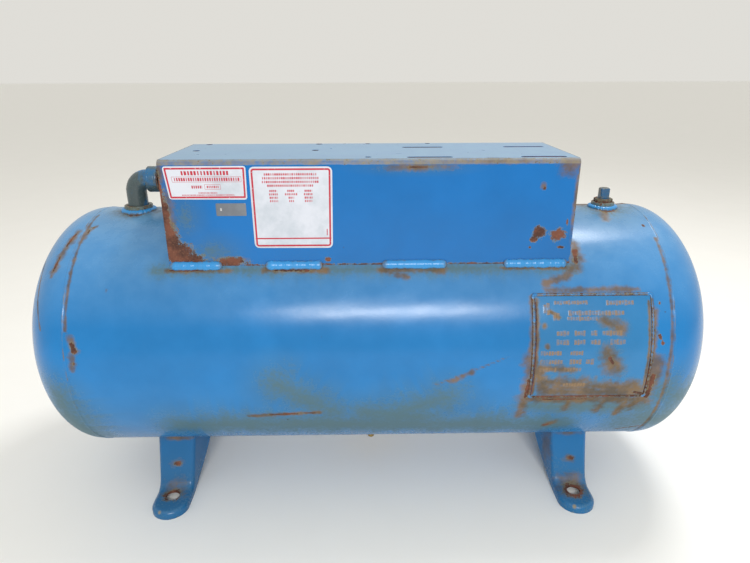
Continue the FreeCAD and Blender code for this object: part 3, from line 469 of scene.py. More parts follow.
tankSkin = {
    "along": 210, "around": 400, "headAlong": 110, "headAround": 360, "ripple": 0.00018, "wall": 0.003,
    # strokes: start X and degrees, end X and degrees, half width; degrees go up from the front
    "rust": [
        (-0.4700, 46.0, -0.4650, 52.7, 0.0016), (-0.4610, 58.0, -0.4550, 65.0, 0.0018),
        (-0.4370, 66.0, -0.4350, 70.0, 0.0016), (-0.4330, 14.5, -0.4310, 11.5, 0.0030),
        (-0.4345, 6.5, -0.4350, 4.5, 0.0018), (-0.1850, -23.3, -0.0873, -21.6, 0.0014),
        (-0.1450, -22.5, -0.1150, -22.0, 0.0024), (0.3105, 53.0, 0.3085, 48.0, 0.0034),
        (-0.2990, 45.2, -0.2500, 45.0, 0.0016), (-0.1440, 44.8, -0.0900, 44.6, 0.0018),
        (0.2360, 12.0, 0.2350, -12.5, 0.0014), (0.2350, -4.0, 0.2340, -13.0, 0.0024),
        (0.2600, -14.4, 0.3300, -14.6, 0.0012), (0.4210, -2.0, 0.4185, -13.0, 0.0034),
        (0.4140, 30.0, 0.4150, 4.0, 0.0012), (0.4240, 15.5, 0.4250, 14.6, 0.0022),
        (0.4275, 12.8, 0.4290, 12.2, 0.0020), (0.4235, 29.6, 0.4235, 28.9, 0.0016),
        (0.2850, -34.2, 0.2800, -35.6, 0.0036), (0.4020, -44.0, 0.4360, -38.5, 0.0020),
        (0.3950, 84.4, 0.3950, 95.6, 0.0150), (0.4330, 69.0, 0.4330, 68.0, 0.0016),
        (-0.3860, 84.4, -0.3860, 95.6, 0.0160), (0.3300, 98.0, 0.4500, 101.0, 0.0036),
        (-0.2200, 134.8, -0.1100, 134.9, 0.0012), (0.1200, 134.8, 0.2300, 134.9, 0.0014),
        (-0.3300, 172.0, -0.3290, 170.0, 0.0030), (0.3400, 196.0, 0.3410, 191.0, 0.0024),
        (-0.0200, -88.0, 0.0200, -92.0, 0.0140), (-0.3385, -58.0, -0.3385, -54.0, 0.0060),
        (0.3465, -58.0, 0.3465, -54.0, 0.0060),
    ],
    "stain": [
        (0.2370, 32.0, 0.2350, -13.0, 0.0042), (0.2350, 6.0, 0.2315, -14.0, 0.0090),
        (0.2600, 34.8, 0.3950, 35.0, 0.0052), (0.2360, -14.2, 0.4150, -14.8, 0.0082),
        (0.4160, 26.0, 0.4160, 2.0, 0.0050), (0.4215, 5.0, 0.4180, -15.0, 0.0120),
        (0.4120, -14.0, 0.3990, -19.0, 0.0120), (0.2330, -15.0, 0.2300, -26.0, 0.0074),
        (0.3010, -15.0, 0.3000, -21.0, 0.0056), (0.3560, -15.0, 0.3490, -22.0, 0.0060),
        (0.3900, -17.0, 0.3820, -25.0, 0.0070), (0.3120, 57.0, 0.3085, 46.0, 0.0105),
        (0.3060, 46.0, 0.2890, 40.2, 0.0066), (0.2950, 41.6, 0.2600, 38.0, 0.0060),
        (-0.3010, 45.0, -0.2050, 44.7, 0.0040), (-0.1560, 44.9, -0.0650, 44.6, 0.0046),
        (0.0140, 44.6, 0.1080, 44.3, 0.0056), (0.0350, 42.0, 0.0560, 41.4, 0.0040),
        (0.1950, 45.0, 0.2950, 44.8, 0.0030), (-0.4720, 43.6, -0.4640, 53.0, 0.0060),
        (-0.4640, 53.0, -0.4530, 67.0, 0.0060), (-0.4420, 60.0, -0.4370, 68.0, 0.0036),
        (-0.4370, 68.0, -0.4300, 71.3, 0.0032), (-0.4349, 16.3, -0.4303, 11.3, 0.0052),
        (-0.4340, 9.0, -0.4360, 3.5, 0.0046), (-0.3844, 37.0, -0.3844, 34.5, 0.0018),
        (-0.1900, -23.4, -0.0800, -21.4, 0.0040), (0.0949, -5.7, 0.2010, 7.1, 0.0016),
        (0.1200, -4.0, 0.1500, 0.5, 0.0034), (0.2900, -32.5, 0.2790, -36.0, 0.0066),
        (-0.5000, 55.0, -0.4942, 33.0, 0.0022), (-0.4942, 33.0, -0.4830, 20.0, 0.0022),
        (0.3950, 90.0, 0.3950, 90.0, 0.0290), (0.3900, 84.0, 0.3800, 74.0, 0.0080),
        (-0.3860, 90.0, -0.3860, 90.0, 0.0270), (-0.4420, 82.0, -0.4420, 20.0, 0.0022),
        (0.4422, 60.0, 0.4422, -46.0, 0.0024), (0.3200, 95.0, 0.4500, 100.0, 0.0110),
        (-0.2300, 135.0, -0.1000, 135.2, 0.0040), (0.1100, 135.2, 0.2400, 135.0, 0.0044),
        (-0.3300, 171.0, -0.3310, 184.0, 0.0046), (0.3400, 195.0, 0.3420, 212.0, 0.0040),
        (-0.0300, -87.0, 0.0300, -93.0, 0.0300), (0.1300, 180.5, 0.1310, 190.0, 0.0040),
    ],
    "dirt": [
        (-0.1390, -4.7, -0.0640, -19.6, 0.030), (0.0440, -22.0, 0.1190, -12.0, 0.034),
        (-0.0100, -22.0, 0.0900, -26.0, 0.036), (0.2400, -18.0, 0.4200, -20.0, 0.024),
        (-0.4700, -10.0, -0.4600, -40.0, 0.040), (0.4400, -30.0, 0.5200, -30.0, 0.050),
        (-0.3000, -30.0, 0.3000, -34.0, 0.034), (-0.3860, 90.0, -0.3860, 90.0, 0.046),
        (0.3950, 90.0, 0.3950, 90.0, 0.050), (-0.3200, 45.0, 0.3000, 45.0, 0.012),
        (0.4400, -10.0, 0.5000, -20.0, 0.040), (0.2600, -16.0, 0.4100, -16.0, 0.020),
    ],
}


def tankFields(points):
    # where the tank has rusted, dripped, gathered dirt and faded
    height = (points[..., 2] - axisZ) / tankRadius
    low = np.clip((-height - 0.02) / 0.75, 0, 1)
    high = np.clip((height - 0.35) / 0.65, 0, 1)
    return {
        "rustField": nearStrokes(points, tankSkin["rust"]),
        "stainField": nearStrokes(points, tankSkin["stain"]),
        "dirtField": np.clip(nearStrokes(points, tankSkin["dirt"]) * 0.78 + 0.02 + 0.22 * low, 0, 1),
        "fadeField": np.clip(0.02 + 0.30 * high + 0.10 * low, 0, 1),
    }


def makeTankMaterial():
    # aged paint that follows the values carried by the skin
    material, tree, shader = startMaterial("tankEnamel")
    paint = useGroup(tree, paintGroup, {
        "Vector": objectPlace(tree), "Tone": blue["tank"], "Chips": 0.75, "Grain": 85.0,
        "Fade": ownValue(tree, "fadeField"), "Dirt": ownValue(tree, "dirtField"),
        "Stain": ownValue(tree, "stainField"), "Rust": ownValue(tree, "rustField"),
    })
    finishPaint(tree, shader, paint)
    return material


def makeTank(material):
    # shell: a tube with an inner wall; each head: half an ellipse turned about the axis, closed behind
    x = np.linspace(-shellHalf, shellHalf, tankSkin["along"])
    outer = np.stack([x, np.full_like(x, tankRadius)], -1)
    innerRadius = tankRadius - tankSkin["wall"]
    inner = np.array([[shellHalf, innerRadius], [0.0, innerRadius], [-shellHalf, innerRadius]])
    points = turned(np.concatenate([outer, inner]), tankSkin["around"])
    angle = np.linspace(0, 2 * np.pi, tankSkin["around"], endpoint=False)
    # rolled plate is never quite round: slow waves along and about the axis, always inward
    wave = swell(points[..., 0] * 14 + 3 * np.sin(angle), 3)
    wave = wave + swell(points[..., 0] * 5 + 4 * np.cos(angle * 2), 8)
    shrink = 1 - tankSkin["ripple"] / tankRadius * (1 + wave / 2)
    points[..., 1] *= shrink
    points[..., 2] = axisZ + (points[..., 2] - axisZ) * shrink
    makePiece("tank_shell_skin", points, material, ["tank_shell"], wrapRows=True,
              fields=tankFields(points))
    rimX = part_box("seam_weld_right")[0].x
    for side, node in ((-1, "head_left"), (1, "head_right")):
        t = np.linspace(0.004, 1, tankSkin["headAlong"]) * np.pi / 2  # starts just off the pole
        dome = np.stack([headRim + (headTip - headRim) * np.cos(t), tankRadius * np.sin(t)], -1)
        # the back stays hidden under the seam's bead
        back = np.array([[rimX + 0.004, tankRadius], [rimX + 0.0035, tankRadius - 0.004], [rimX + 0.0035, 0.02]])
        profile = np.concatenate([dome, back])
        profile[:, 0] *= side
        points = turned(profile, tankSkin["headAround"])
        makePiece(node + "_skin", points, material, [node], fields=tankFields(points))


tankMaterial = makeTankMaterial()
makeTank(tankMaterial)
print("stage: tank made")


weldLook = {
    "pitch": 0.0026, "lump": 0.13, "dip": 0.011,
    "seam": {"around": 1500, "across": 15, "half": 0.0034, "high": 0.00085, "share": 0.62, "wander": 0.0004},
    "base": {"leg": 0.0072, "high": 0.0036, "sink": 0.0004},
    "long": {"half": 0.0040, "high": 0.0019},
    "foot": {"half": 0.0048, "high": 0.0044, "reach": 0.0558, "lean": 12.6, "start": 27.5, "sweep": -10.5},
    "portLeg": 0.0056, "drainLeg": 0.0046,
}


def makeWeldMaterial(name, tint, wear):
    # beads are a brighter blue than the tank, a painted highlight on their crowns, and rust shows along their edges
    # and at their ends
    material, tree, shader = startMaterial(name)
    rim = ownValue(tree, "rimField")
    paint = useGroup(tree, paintGroup, {
        "Vector": objectPlace(tree), "Tone": tint, "Fade": 0.08, "Chips": 0.3, "Grain": 150.0,
        "Dirt": calc(tree, "MULTIPLY", rim, 0.5), "Stain": calc(tree, "MULTIPLY", rim, wear),
        "Rust": calc(tree, "MULTIPLY_ADD", rim, wear * 0.55, 0.02),
    })
    finishPaint(tree, shader, paint, 0.0008, 0.8)
    return material


weldMaterial = makeWeldMaterial("weldEnamel", blue["weld"], 0.72)
frameMaterial = makeWeldMaterial("plateEdgeEnamel", blue["tank"], 1.0)


def makeSeams(material):
    # a narrow arc over the joint, carried round the tank, with one ripple for each dip of the weld pool
    look = weldLook["seam"]
    count, half = look["around"], look["half"]
    angle = np.linspace(0, 2 * np.pi, count, endpoint=False)[:, None]
    t = np.linspace(-1, 1, look["across"])[None, :]
    arch = np.clip(1 - (t / look["share"]) ** 2, 0, 1)  # the crown fills only this share of the width
    ripple = 0.14 * np.abs(np.sin(angle * tankRadius * np.pi / weldLook["pitch"] + t))
    drift = look["wander"] * swell(angle * 9, 5)
    crown = look["high"] * arch * (1 + 0.15 * swell(angle * 14, 2) - ripple) - 0.00008
    crown = np.clip(crown, -0.0005, 0.001)
    for side, node in ((-1, "seam_weld_left"), (1, "seam_weld_right")):
        low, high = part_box(node)
        middle = (low.x + high.x) / 2
        x = middle + (half * t + drift) + 0 * angle
        r = tankRadius + crown
        ends = np.stack([np.full((count, 1), middle + half), np.full((count, 1), tankRadius - 0.002)], -1)
        ends = np.concatenate([ends, ends * [0, 1] + [middle - half, 0]], 1)
        section = np.concatenate([np.stack([x, r], -1), ends], 1)
        points = np.stack([
            section[..., 0], -section[..., 1] * np.cos(angle), axisZ + section[..., 1] * np.sin(angle),
        ], -1)
        fields = tankFields(points)
        # rust sits in a thin line to one side of the crown, and comes and goes round the tank
        strength = np.clip(0.55 + 0.5 * swell(angle * 6, 11 + side), 0, 1)
        line = np.clip(1 - np.abs(t + 0.25 * side) * 2.6, 0, 1) * strength
        line = np.concatenate([line, np.zeros((count, 2))], 1)
        fields["stainField"] = np.maximum(fields["stainField"], line)
        fields["rustField"] = np.maximum(fields["rustField"], line * 0.5)
        makePiece(node + "_bead", points, material, [node], wrapRows=True, fields=fields)


def makeBead(node, path, across, outward, radius, halfWidth, sink, seed, count=160):
    # a half-round section carried along a path, swollen by ripples and lumps and tapering to round ends
    s = np.linspace(0, 1, count)
    length = np.linalg.norm(np.diff(path(s), axis=0), axis=1).sum()
    fromEnd = np.minimum(s, 1 - s) * length
    endTaper = np.sqrt(np.clip(1 - np.clip(1 - fromEnd / halfWidth, 0, 1) ** 2, 0.02, 1))
    lumps = swell(s * length * 70, seed) + 0.4 * swell(s * length * 210, seed + 9)
    size = endTaper * (1 + weldLook["lump"] * lumps)
    pool = np.abs(np.sin(s * length * np.pi / weldLook["pitch"] + swell(s * length * 50, seed)))
    dip = 1 - weldLook["dip"] * pool
    phi = np.linspace(0, np.pi, 13)
    wide = (size * halfWidth)[:, None] * np.cos(phi)
    tall = (size * dip * radius)[:, None] * np.sin(phi) - sink
    wide = np.concatenate([wide, wide[:, -1:], wide[:, :1]], 1)
    tall = np.concatenate([tall, tall[:, -1:] - 0.001, tall[:, :1] - 0.001], 1)
    points = path(s)[:, None] + wide[..., None] * across(s)[:, None] + tall[..., None] * outward(s)[:, None]
    edge = np.concatenate([np.abs(np.cos(phi)) ** 3, [1, 1]]) + 0 * wide
    nearEnd = np.clip(1 - fromEnd / 0.012, 0, 1)[:, None]
    rim = np.maximum(edge * 0.75, nearEnd * 0.9) + 0.3 * swell(s * length * 90, seed + 4)[:, None]
    rim = np.clip(rim, 0, 1.2)
    makePiece(node + "_bead", points, weldMaterial, [node], fields={"rimField": rim})


def straightBead(startX, endX, middle, sideways, out):
    # path, side and outward directions of a bead that runs along X
    def path(s):
        return np.stack([startX + (endX - startX) * s, middle[1] + 0 * s, middle[2] + 0 * s], -1)

    def across(s):
        return np.tile(sideways, (len(s), 1))

    def outward(s):
        return np.tile(out, (len(s), 1))
    return path, across, outward


def makeBaseBeads():
    # in the corner between a wall of the base and the tank: the section spans from wall to tank
    look = weldLook["base"]
    for place, wallY in (("front", baseLow.y), ("rear", baseHigh.y)):
        facing = -1 if place == "front" else 1
        cornerZ = axisZ + math.sqrt(tankRadius ** 2 - wallY ** 2)
        onWall = np.array([0, 0.0, 1.0])
        onRound = np.array([0, facing * (cornerZ - axisZ), -abs(wallY)])
        onRound /= np.linalg.norm(onRound)  # down the round of the tank
        corner = np.array([0, wallY, cornerZ])
        for number in range(1, 5):
            node = f"base_weld_{place}_{number}"
            low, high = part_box(node)
            reach = min(look["leg"], high.z - cornerZ)
            span = (onRound - onWall) * reach
            middle = corner + (onWall + onRound) * reach / 2
            out = np.cross(span, [1.0, 0, 0])
            out = out / np.linalg.norm(out) * (1 if out[1] * facing > 0 else -1)
            halfWidth = float(np.linalg.norm(span)) / 2
            path, across, outward = straightBead(low.x, high.x, middle, span / (2 * halfWidth), out)
            makeBead(node, path, across, outward, look["high"], halfWidth, look["sink"], number * 3 + facing)


def makeLongSeam():
    # one straight bead along the back of the shell
    look = weldLook["long"]
    low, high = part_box("long_seam_weld")
    middle = np.array([0, tankRadius - 0.0002, (low.z + high.z) / 2])
    path, across, outward = straightBead(low.x, high.x, middle, [0, 0, 1.0], [0, 1.0, 0])
    makeBead("long_seam_weld", path, across, outward, look["high"], look["half"], 0.0, 21, count=900)


def makeFootBeads():
    # up each side of a foot: an arc on the round of the tank, in a plane that leans to follow the flare
    look = weldLook["foot"]
    lean = math.radians(look["lean"])
    for place, facing in (("front", -1), ("rear", 1)):
        for end in ("left", "right"):
            low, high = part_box(f"foot_{place}_{end}")
            middle = (low.x + high.x) / 2
            for word in ("low_x", "high_x"):
                node = f"foot_weld_{place}_{end}_{word}"
                beadLow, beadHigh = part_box(node)
                side = 1 if (beadLow.x + beadHigh.x) / 2 > middle else -1

                # outward: the radius direction as it swings up from straight below
                def outward(s, side=side, facing=facing):
                    phi = np.radians(look["start"] + look["sweep"] * s)
                    aside, ahead = -side * math.sin(lean), facing * math.cos(lean)
                    return np.stack([aside * np.sin(phi), ahead * np.sin(phi), -np.cos(phi)], -1)

                # path: that direction times the tank's radius, from a centre beside the foot
                def path(s, middle=middle, side=side, outward=outward):
                    centre = np.array([middle + side * look["reach"], 0, axisZ])
                    return centre + outward(s) * (tankRadius - 0.0006)

                def across(s, side=side):
                    return np.tile([float(side), 0, 0], (len(s), 1))

                seed = 31 + side + facing * 2 + (5 if end == "left" else 0)
                makeBead(node, path, across, outward, look["high"], look["half"], 0.0, seed, count=60)


def makeRingWeld(node, centreX, ringRadius, leg, upSide, seed):
    # a bulged collar: a quarter ellipse from the tank's skin to the boss wall, lumpy as it goes round
    count, steps = 240, 12
    angle = np.linspace(0, 2 * np.pi, count, endpoint=False)[:, None]
    t = np.linspace(0, 1, steps)[None, :]
    lump = np.minimum(1 + 0.10 * swell(angle * 5, seed) + 0.05 * np.abs(np.sin(angle * 13)), 1.12)
    r = ringRadius + leg * np.cos(t * np.pi / 2) * lump
    rise = leg * 0.92 * np.sin(t * np.pi / 2) ** 0.8 * np.minimum(lump, 1.05) - 0.0005
    skin = np.sqrt(tankRadius ** 2 - (r * np.sin(angle)) ** 2)
    r = np.concatenate([r, np.full((count, 2), ringRadius - 0.001)], 1)
    r[:, -1] = ringRadius + leg * 0.5
    tall = np.concatenate([skin + rise, (skin + rise)[:, -1:], (skin + rise)[:, :1] - 0.003], 1)
    points = np.stack([centreX + r * np.cos(angle), r * np.sin(angle), axisZ + upSide * tall], -1)
    rim = np.concatenate([(1 - t) ** 2 + t ** 6 + 0 * angle, np.ones((count, 2))], 1)
    rim = np.clip(rim * (0.9 + 0.5 * swell(angle * 4, seed + 2)), 0, 1.2)
    makePiece(node + "_bead", points, weldMaterial, [node], wrapRows=True,
              fields={"rimField": rim})


makeSeams(tankMaterial)
makeLongSeam()
makeBaseBeads()
makeFootBeads()
print("stage: welds made")


frontY = baseLow.y
baseWear = {
    # spots on the front wall: X, height over the tank's axis, reach along X, reach up
    "rust": [
        (-0.2945, 0.214, 0.0055, 0.040), (-0.2900, 0.184, 0.0110, 0.026), (-0.2800, 0.166, 0.0190, 0.018),
        (-0.2655, 0.157, 0.0200, 0.010), (-0.2055, 0.1555, 0.0215, 0.0066), (0.2480, 0.1965, 0.0085, 0.0085),
        (0.2415, 0.1860, 0.0055, 0.0045), (0.2765, 0.1935, 0.0095, 0.0080), (-0.0630, 0.158, 0.0040, 0.003),
        (0.2499, 0.262, 0.0022, 0.0022), (0.2880, 0.212, 0.0018, 0.0046), (0.2820, 0.174, 0.0042, 0.0018),
        (0.2370, 0.174, 0.0018, 0.0018), (0.0700, 0.2930, 0.016, 0.0010),
        (-0.2980, 0.250, 0.0026, 0.040),
    ],
    "stain": [
        (0.2880, 0.296, 0.020, 0.016), (-0.2970, 0.290, 0.006, 0.020), (0.0650, 0.293, 0.044, 0.0050),
        (0.2965, 0.250, 0.0032, 0.050), (0.2490, 0.266, 0.0040, 0.0050), (-0.2890, 0.214, 0.0080, 0.046),
        (0.1800, 0.3005, 0.080, 0.0040), (-0.2050, 0.1570, 0.022, 0.0060),
    ],
    "dirt": [(-0.2655, 0.222, 0.019, 0.024), (0.0650, 0.292, 0.055, 0.007), (-0.2300, 0.170, 0.030, 0.020)],
}


def makeBaseMaterial():
    # blue paint, chalky on top, rubbed through on the bends, rusted at its ends; in rust colours, painted shade
    # darkens its foot along the tank, and partly rust, partly painted shade darkens its underside and the cut walls
    # of its holes
    material, tree, shader = startMaterial("baseEnamel")
    place = objectPlace(tree)
    x, y, z = put(tree, "ShaderNodeSeparateXYZ", {0: place}).outputs
    fields = {}
    for word in ("rust", "stain", "dirt"):
        spots = [((px, frontY, axisZ + pz), (rx, 0.012, rz)) for px, pz, rx, rz in baseWear[word]]
        fields[word] = spotField(tree, place, spots)
    top = ramp(tree, upward(tree), 0.6, 0.95)
    # the bend along the front and the back is rubbed through
    bendFront = calc(tree, "MULTIPLY", ramp(tree, y, frontY + 0.0085, frontY + 0.0055),
                     ramp(tree, z, baseHigh.z - 0.0095, baseHigh.z - 0.0065))
    bendBack = calc(tree, "MULTIPLY", ramp(tree, y, baseHigh.y - 0.0060, baseHigh.y - 0.0025),
                    ramp(tree, z, baseHigh.z - 0.0060, baseHigh.z - 0.0030))
    atEnds = ramp(tree, calc(tree, "ABSOLUTE", x), baseHigh.x - 0.0034, baseHigh.x - 0.0006)
    onTop = ramp(tree, z, baseHigh.z - 0.006, baseHigh.z - 0.001)
    bend = calc(tree, "MAXIMUM", bendFront, bendBack)
    bare = calc(tree, "MULTIPLY", calc(tree, "MAXIMUM", bend, calc(tree, "MULTIPLY", atEnds, onTop)), 0.56)
    rust = calc(tree, "MAXIMUM", fields["rust"], calc(tree, "MULTIPLY", atEnds, 0.40))
    rust = calc(tree, "MAXIMUM", rust, calc(tree, "MULTIPLY", bendFront, 0.30))
    # the cut walls of the holes and slots, and the whole underside, are brown and dark: rust on the cut edges,
    # deepened by painted shade of these recesses
    insideX = ramp(tree, calc(tree, "ABSOLUTE", x), baseHigh.x - 0.0030, baseHigh.x - 0.0040)
    insideY = calc(tree, "MULTIPLY", ramp(tree, y, frontY + 0.0046, frontY + 0.0052),
                   ramp(tree, y, baseHigh.y - 0.0046, baseHigh.y - 0.0052))
    belowTop = ramp(tree, z, baseHigh.z - 0.0003, baseHigh.z - 0.0008)
    under = calc(tree, "MULTIPLY", calc(tree, "MULTIPLY", insideX, insideY), belowTop)
    rust = calc(tree, "MAXIMUM", rust, calc(tree, "MULTIPLY", under, 1.4))
    # a thin dark line where the wall meets the tank: painted contact shade in the rust colours
    above = calc(tree, "SUBTRACT", z, axisZ)
    away = calc(tree, "SQRT", calc(tree, "MULTIPLY_ADD", y, y, calc(tree, "MULTIPLY", above, above)))
    rust = calc(tree, "MAXIMUM", rust, ramp(tree, away, tankRadius + 0.0042, tankRadius + 0.0008, 0.0, 0.55))
    dust = calc(tree, "MULTIPLY", top, 0.22)
    # the rust value fed in here also carries painted shade: the recesses, the underside and the wall's foot
    paint = useGroup(tree, paintGroup, {
        "Vector": place, "Tone": blue["base"], "Fade": calc(tree, "MULTIPLY", top, 0.50),
        "Dirt": calc(tree, "MAXIMUM", calc(tree, "MULTIPLY", fields["dirt"], 0.75), dust),
        "Stain": calc(tree, "MAXIMUM", fields["stain"], calc(tree, "MULTIPLY", bend, 0.40)),
        "Bare": bare, "Rust": rust, "Chips": 0.35, "Grain": 110.0,
    })
    finishPaint(tree, shader, paint)
    return material


softCopy("motor_base", makeBaseMaterial(), 0.0007)
print("stage: base made")


footWear = {
    "hole": 0.156, "holeRadius": 0.0114,
    # spots on one foot: X from its middle, distance out from the tank's axis, height, reach along X, out and up
    "rust": [(-0.001, 0.156, 0.0135, 0.0130, 0.0120, 0.008), (0.002, 0.120, 0.052, 0.0060, 0.020, 0.0036)],
    "stain": [(-0.001, 0.147, 0.018, 0.0190, 0.0170, 0.015), (0.002, 0.120, 0.052, 0.0105, 0.024, 0.0066),
              (0.0, 0.104, 0.094, 0.024, 0.012, 0.0040), (-0.031, 0.080, 0.060, 0.004, 0.030, 0.036)],
    "bare": [(-0.010, 0.192, 0.010, 0.0030, 0.0030, 0.0030)],
    "heavy": {"left": 1.0, "right": 1.35},  # the right pair has more rust round its holes
}


def makeFootMaterial():
    # the same wear on all four feet: rust round the bolt hole and on the web, dirt towards the floor
    material, tree, shader = startMaterial("footEnamel")
    place = objectPlace(tree)
    spots = {"rust": [], "stain": [], "bare": []}
    walls = 0.0
    z = put(tree, "ShaderNodeSeparateXYZ", {0: place}).outputs["Z"]
    for end, heavy in footWear["heavy"].items():
        for row, facing in (("front", -1), ("rear", 1)):
            low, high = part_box(f"foot_{row}_{end}")
            middle = (low.x + high.x) / 2
            for word, found in spots.items():
                for index, (px, out, up, rx, ry, rz) in enumerate(footWear[word]):
                    grow = heavy if index == 0 and word != "bare" else 1.0
                    found.append(((middle + px, facing * out, up), (rx * grow, ry * grow, rz)))
            away = vectorSum(tree, "SUBTRACT", place, (middle, facing * footWear["hole"], 0.0)).outputs[0]
            flat = vectorSum(tree, "MULTIPLY", away, (1, 1, 0)).outputs[0]
            gap = put(tree, "ShaderNodeVectorMath", {0: flat}, operation="LENGTH").outputs["Value"]
            walls = calc(tree, "MAXIMUM", walls, calc(tree, "LESS_THAN", gap, footWear["holeRadius"]))
    ground = ramp(tree, z, 0.006, 0.0)
    field = calc(tree, "MAXIMUM", spotField(tree, place, spots["rust"]), calc(tree, "MULTIPLY", ground, 0.34))
    field = calc(tree, "MAXIMUM", field, calc(tree, "MULTIPLY", walls, 1.6))  # the wall of the bolt hole
    level = ramp(tree, upward(tree), 0.5, 0.95)
    # the feet's darker blue is painted shade
    paint = useGroup(tree, paintGroup, {
        "Vector": place, "Tone": blue["foot"], "Fade": calc(tree, "MULTIPLY", level, 0.10),
        "Dirt": ramp(tree, z, 0.10, 0.0, 0.10, 0.40), "Stain": spotField(tree, place, spots["stain"]),
        "Bare": calc(tree, "MULTIPLY", spotField(tree, place, spots["bare"]), 1.2), "Rust": field,
        "Chips": 0.5, "Grain": 110.0,
    })
    finishPaint(tree, shader, paint)
    return material


footMaterial = makeFootMaterial()
for footName in ("foot_front_left", "foot_front_right", "foot_rear_left", "foot_rear_right"):
    softCopy(footName, footMaterial, 0.0007)
print("stage: feet made")


def makeFittingMaterial(name, tint, fade, dirt, rustLevel):
    # cast iron under thin paint: rough, with dirt over it and rust breaking through
    material, tree, shader = startMaterial(name)
    place = objectPlace(tree)
    rim = ownValue(tree, "rimField")
    patchy = ramp(tree, noise(tree, place, 34.0, 4.0, 0.6), 0.40, 0.54, 0.0, 0.86)
    tint = mixTones(tree, patchy, tint, tone(72, 74, 62))
    worn = calc(tree, "MULTIPLY_ADD", rim, 0.42, rustLevel)
    paint = useGroup(tree, paintGroup, {
        "Vector": place, "Tone": tint, "Fade": fade, "Dirt": dirt, "Chips": 0.4, "Grain": 150.0,
        "Stain": calc(tree, "MULTIPLY_ADD", rim, 0.4, rustLevel), "Rust": worn,
    })
    cast = calc(tree, "MULTIPLY_ADD", noise(tree, place, 520.0, 3.0, 0.6), 0.5, paint["Height"])
    bump = put(tree, "ShaderNodeBump", {"Height": cast, "Strength": 0.7, "Distance": 0.0008})
    plug(tree, paint["Color"], shader.inputs["Base Color"])
    plug(tree, paint["Roughness"], shader.inputs["Roughness"])
    plug(tree, bump.outputs["Normal"], shader.inputs["Normal"])
    return material


ports = {
    "bossRound": 0.0012,
    "elbow": {
        "leg": 0.0162, "bend": 0.020, "band": 0.0212, "bandWidth": 0.017, "bore": 0.0126, "port": 0.0156,
        "portDepth": 0.016, "pitch": 0.0018, "thread": 0.0006, "threadRows": 90, "boreRows": 40,
    },
    "plug": {"square": 0.0146, "corner": 0.0094, "chamfer": 0.0014, "thread": 0.0101},
    "bushing": {"corner": 0.0156, "chamfer": 0.0012, "bore": 0.0090, "mouth": 0.0112},
    "bores": {"port_boss_left": 0.0163, "port_boss_right": 0.0133, "drain_boss": 0.0069},
}


def makeBoss(node, material):
    # a plain ring with its rim rounded, open through the middle
    low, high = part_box(node)
    bore = ports["bores"][node]
    outer = (high.x - low.x) / 2
    middle = (low.x + high.x) / 2
    soft = ports["bossRound"]
    arc = np.linspace(0, np.pi / 2, 6)
    profile = np.concatenate([
        np.array([[low.z, bore], [low.z, outer]]),
        np.stack([high.z - soft + soft * np.sin(arc), outer - soft + soft * np.cos(arc)], -1),
        np.array([[high.z, bore + 0.0006], [high.z - 0.0006, bore]]),
    ])
    points = upright(middle, 0.0, profile, 120)
    rim = np.clip((points[..., 2] - high.z + 0.004) / 0.004, 0, 1) * 0.5
    makePiece(node + "_ring", points, material, [node], wrapRows=True, fields={"rimField": rim})


def makeElbow(material):
    # a round section carried up, round a quarter bend and out, then back inside as the bore with its thread
    look = ports["elbow"]
    low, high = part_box("elbow_fitting")
    portLow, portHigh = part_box("port_boss_left")
    centreX = (portLow.x + portHigh.x) / 2
    axis = high.z - look["band"]
    straight = axis - look["bend"] - low.z
    quarter = look["bend"] * np.pi / 2
    total = straight + quarter + (high.x - centreX - look["bend"])

    def along(s):
        # up the straight leg, round the quarter bend, then level
        turn = np.clip((s - straight) / look["bend"], 0, np.pi / 2)
        x = centreX + look["bend"] * (1 - np.cos(turn)) + np.maximum(s - straight - quarter, 0)
        z = low.z + np.minimum(s, straight) + look["bend"] * np.sin(turn)
        return x, z, turn

    bandStart = total - look["bandWidth"]
    s = np.concatenate([
        np.linspace(0, straight, 16), np.linspace(straight, straight + quarter, 34)[1:-1],
        np.linspace(bandStart - 0.003, total - 0.001, 26), [total - 0.0003, total],
    ])
    step = np.clip((s - bandStart + 0.0022) / 0.0022, 0, 1)
    edge = np.clip((s - total + 0.0016) / 0.0016, 0, 1)
    r = look["leg"] + (look["band"] - look["leg"]) * np.sin(step * np.pi / 2)
    r = r - 0.0012 * (1 - np.sqrt(1 - edge ** 2))  # the band's rim is rounded
    threadRows, boreRows = look["threadRows"], look["boreRows"]
    threadS = np.linspace(total, total - look["portDepth"], threadRows)
    boreS = np.linspace(total - look["portDepth"] - 0.0004, 0, boreRows)
    insideS = np.concatenate([[total], threadS, boreS])
    insideR = np.concatenate([
        [look["port"] + 0.0016], np.full(threadRows, look["port"]), np.full(boreRows, look["bore"]),
    ])
    allS, allR = np.concatenate([s, insideS]), np.concatenate([r, insideR])
    count = 96
    phi = np.linspace(0, 2 * np.pi, count, endpoint=False)
    x, z, turn = (v[:, None] for v in along(allS))
    radius = allR[:, None] + 0 * phi
    onThread = np.zeros(len(allS))
    onThread[len(s) + 1:len(s) + 1 + threadRows] = 1
    wave = np.abs(((allS[:, None] / look["pitch"] + phi / (2 * np.pi)) % 1) * 2 - 1)
    radius = radius + onThread[:, None] * look["thread"] * (wave - 1)
    outside = (np.arange(len(allS)) < len(s) - 2)[:, None]
    radius = radius - outside * 0.00022 * (1 + swell(allS[:, None] * 260 + 2 * np.sin(phi), 6))
    inPlane = radius * np.cos(phi)
    points = np.stack([x - inPlane * np.cos(turn), radius * np.sin(phi), z + inPlane * np.sin(turn)], -1)
    inside = (np.arange(len(allS)) >= len(s) - 1)[:, None] + 0 * phi
    atMouth = np.clip((allS[:, None] - total + 0.005) / 0.005, 0, 1) + 0 * phi
    rim = np.clip(inside + atMouth * 0.5, 0, 1)
    makePiece("elbow_casting", points, material, ["elbow_fitting"], wrapRows=True,
              fields={"rimField": rim})


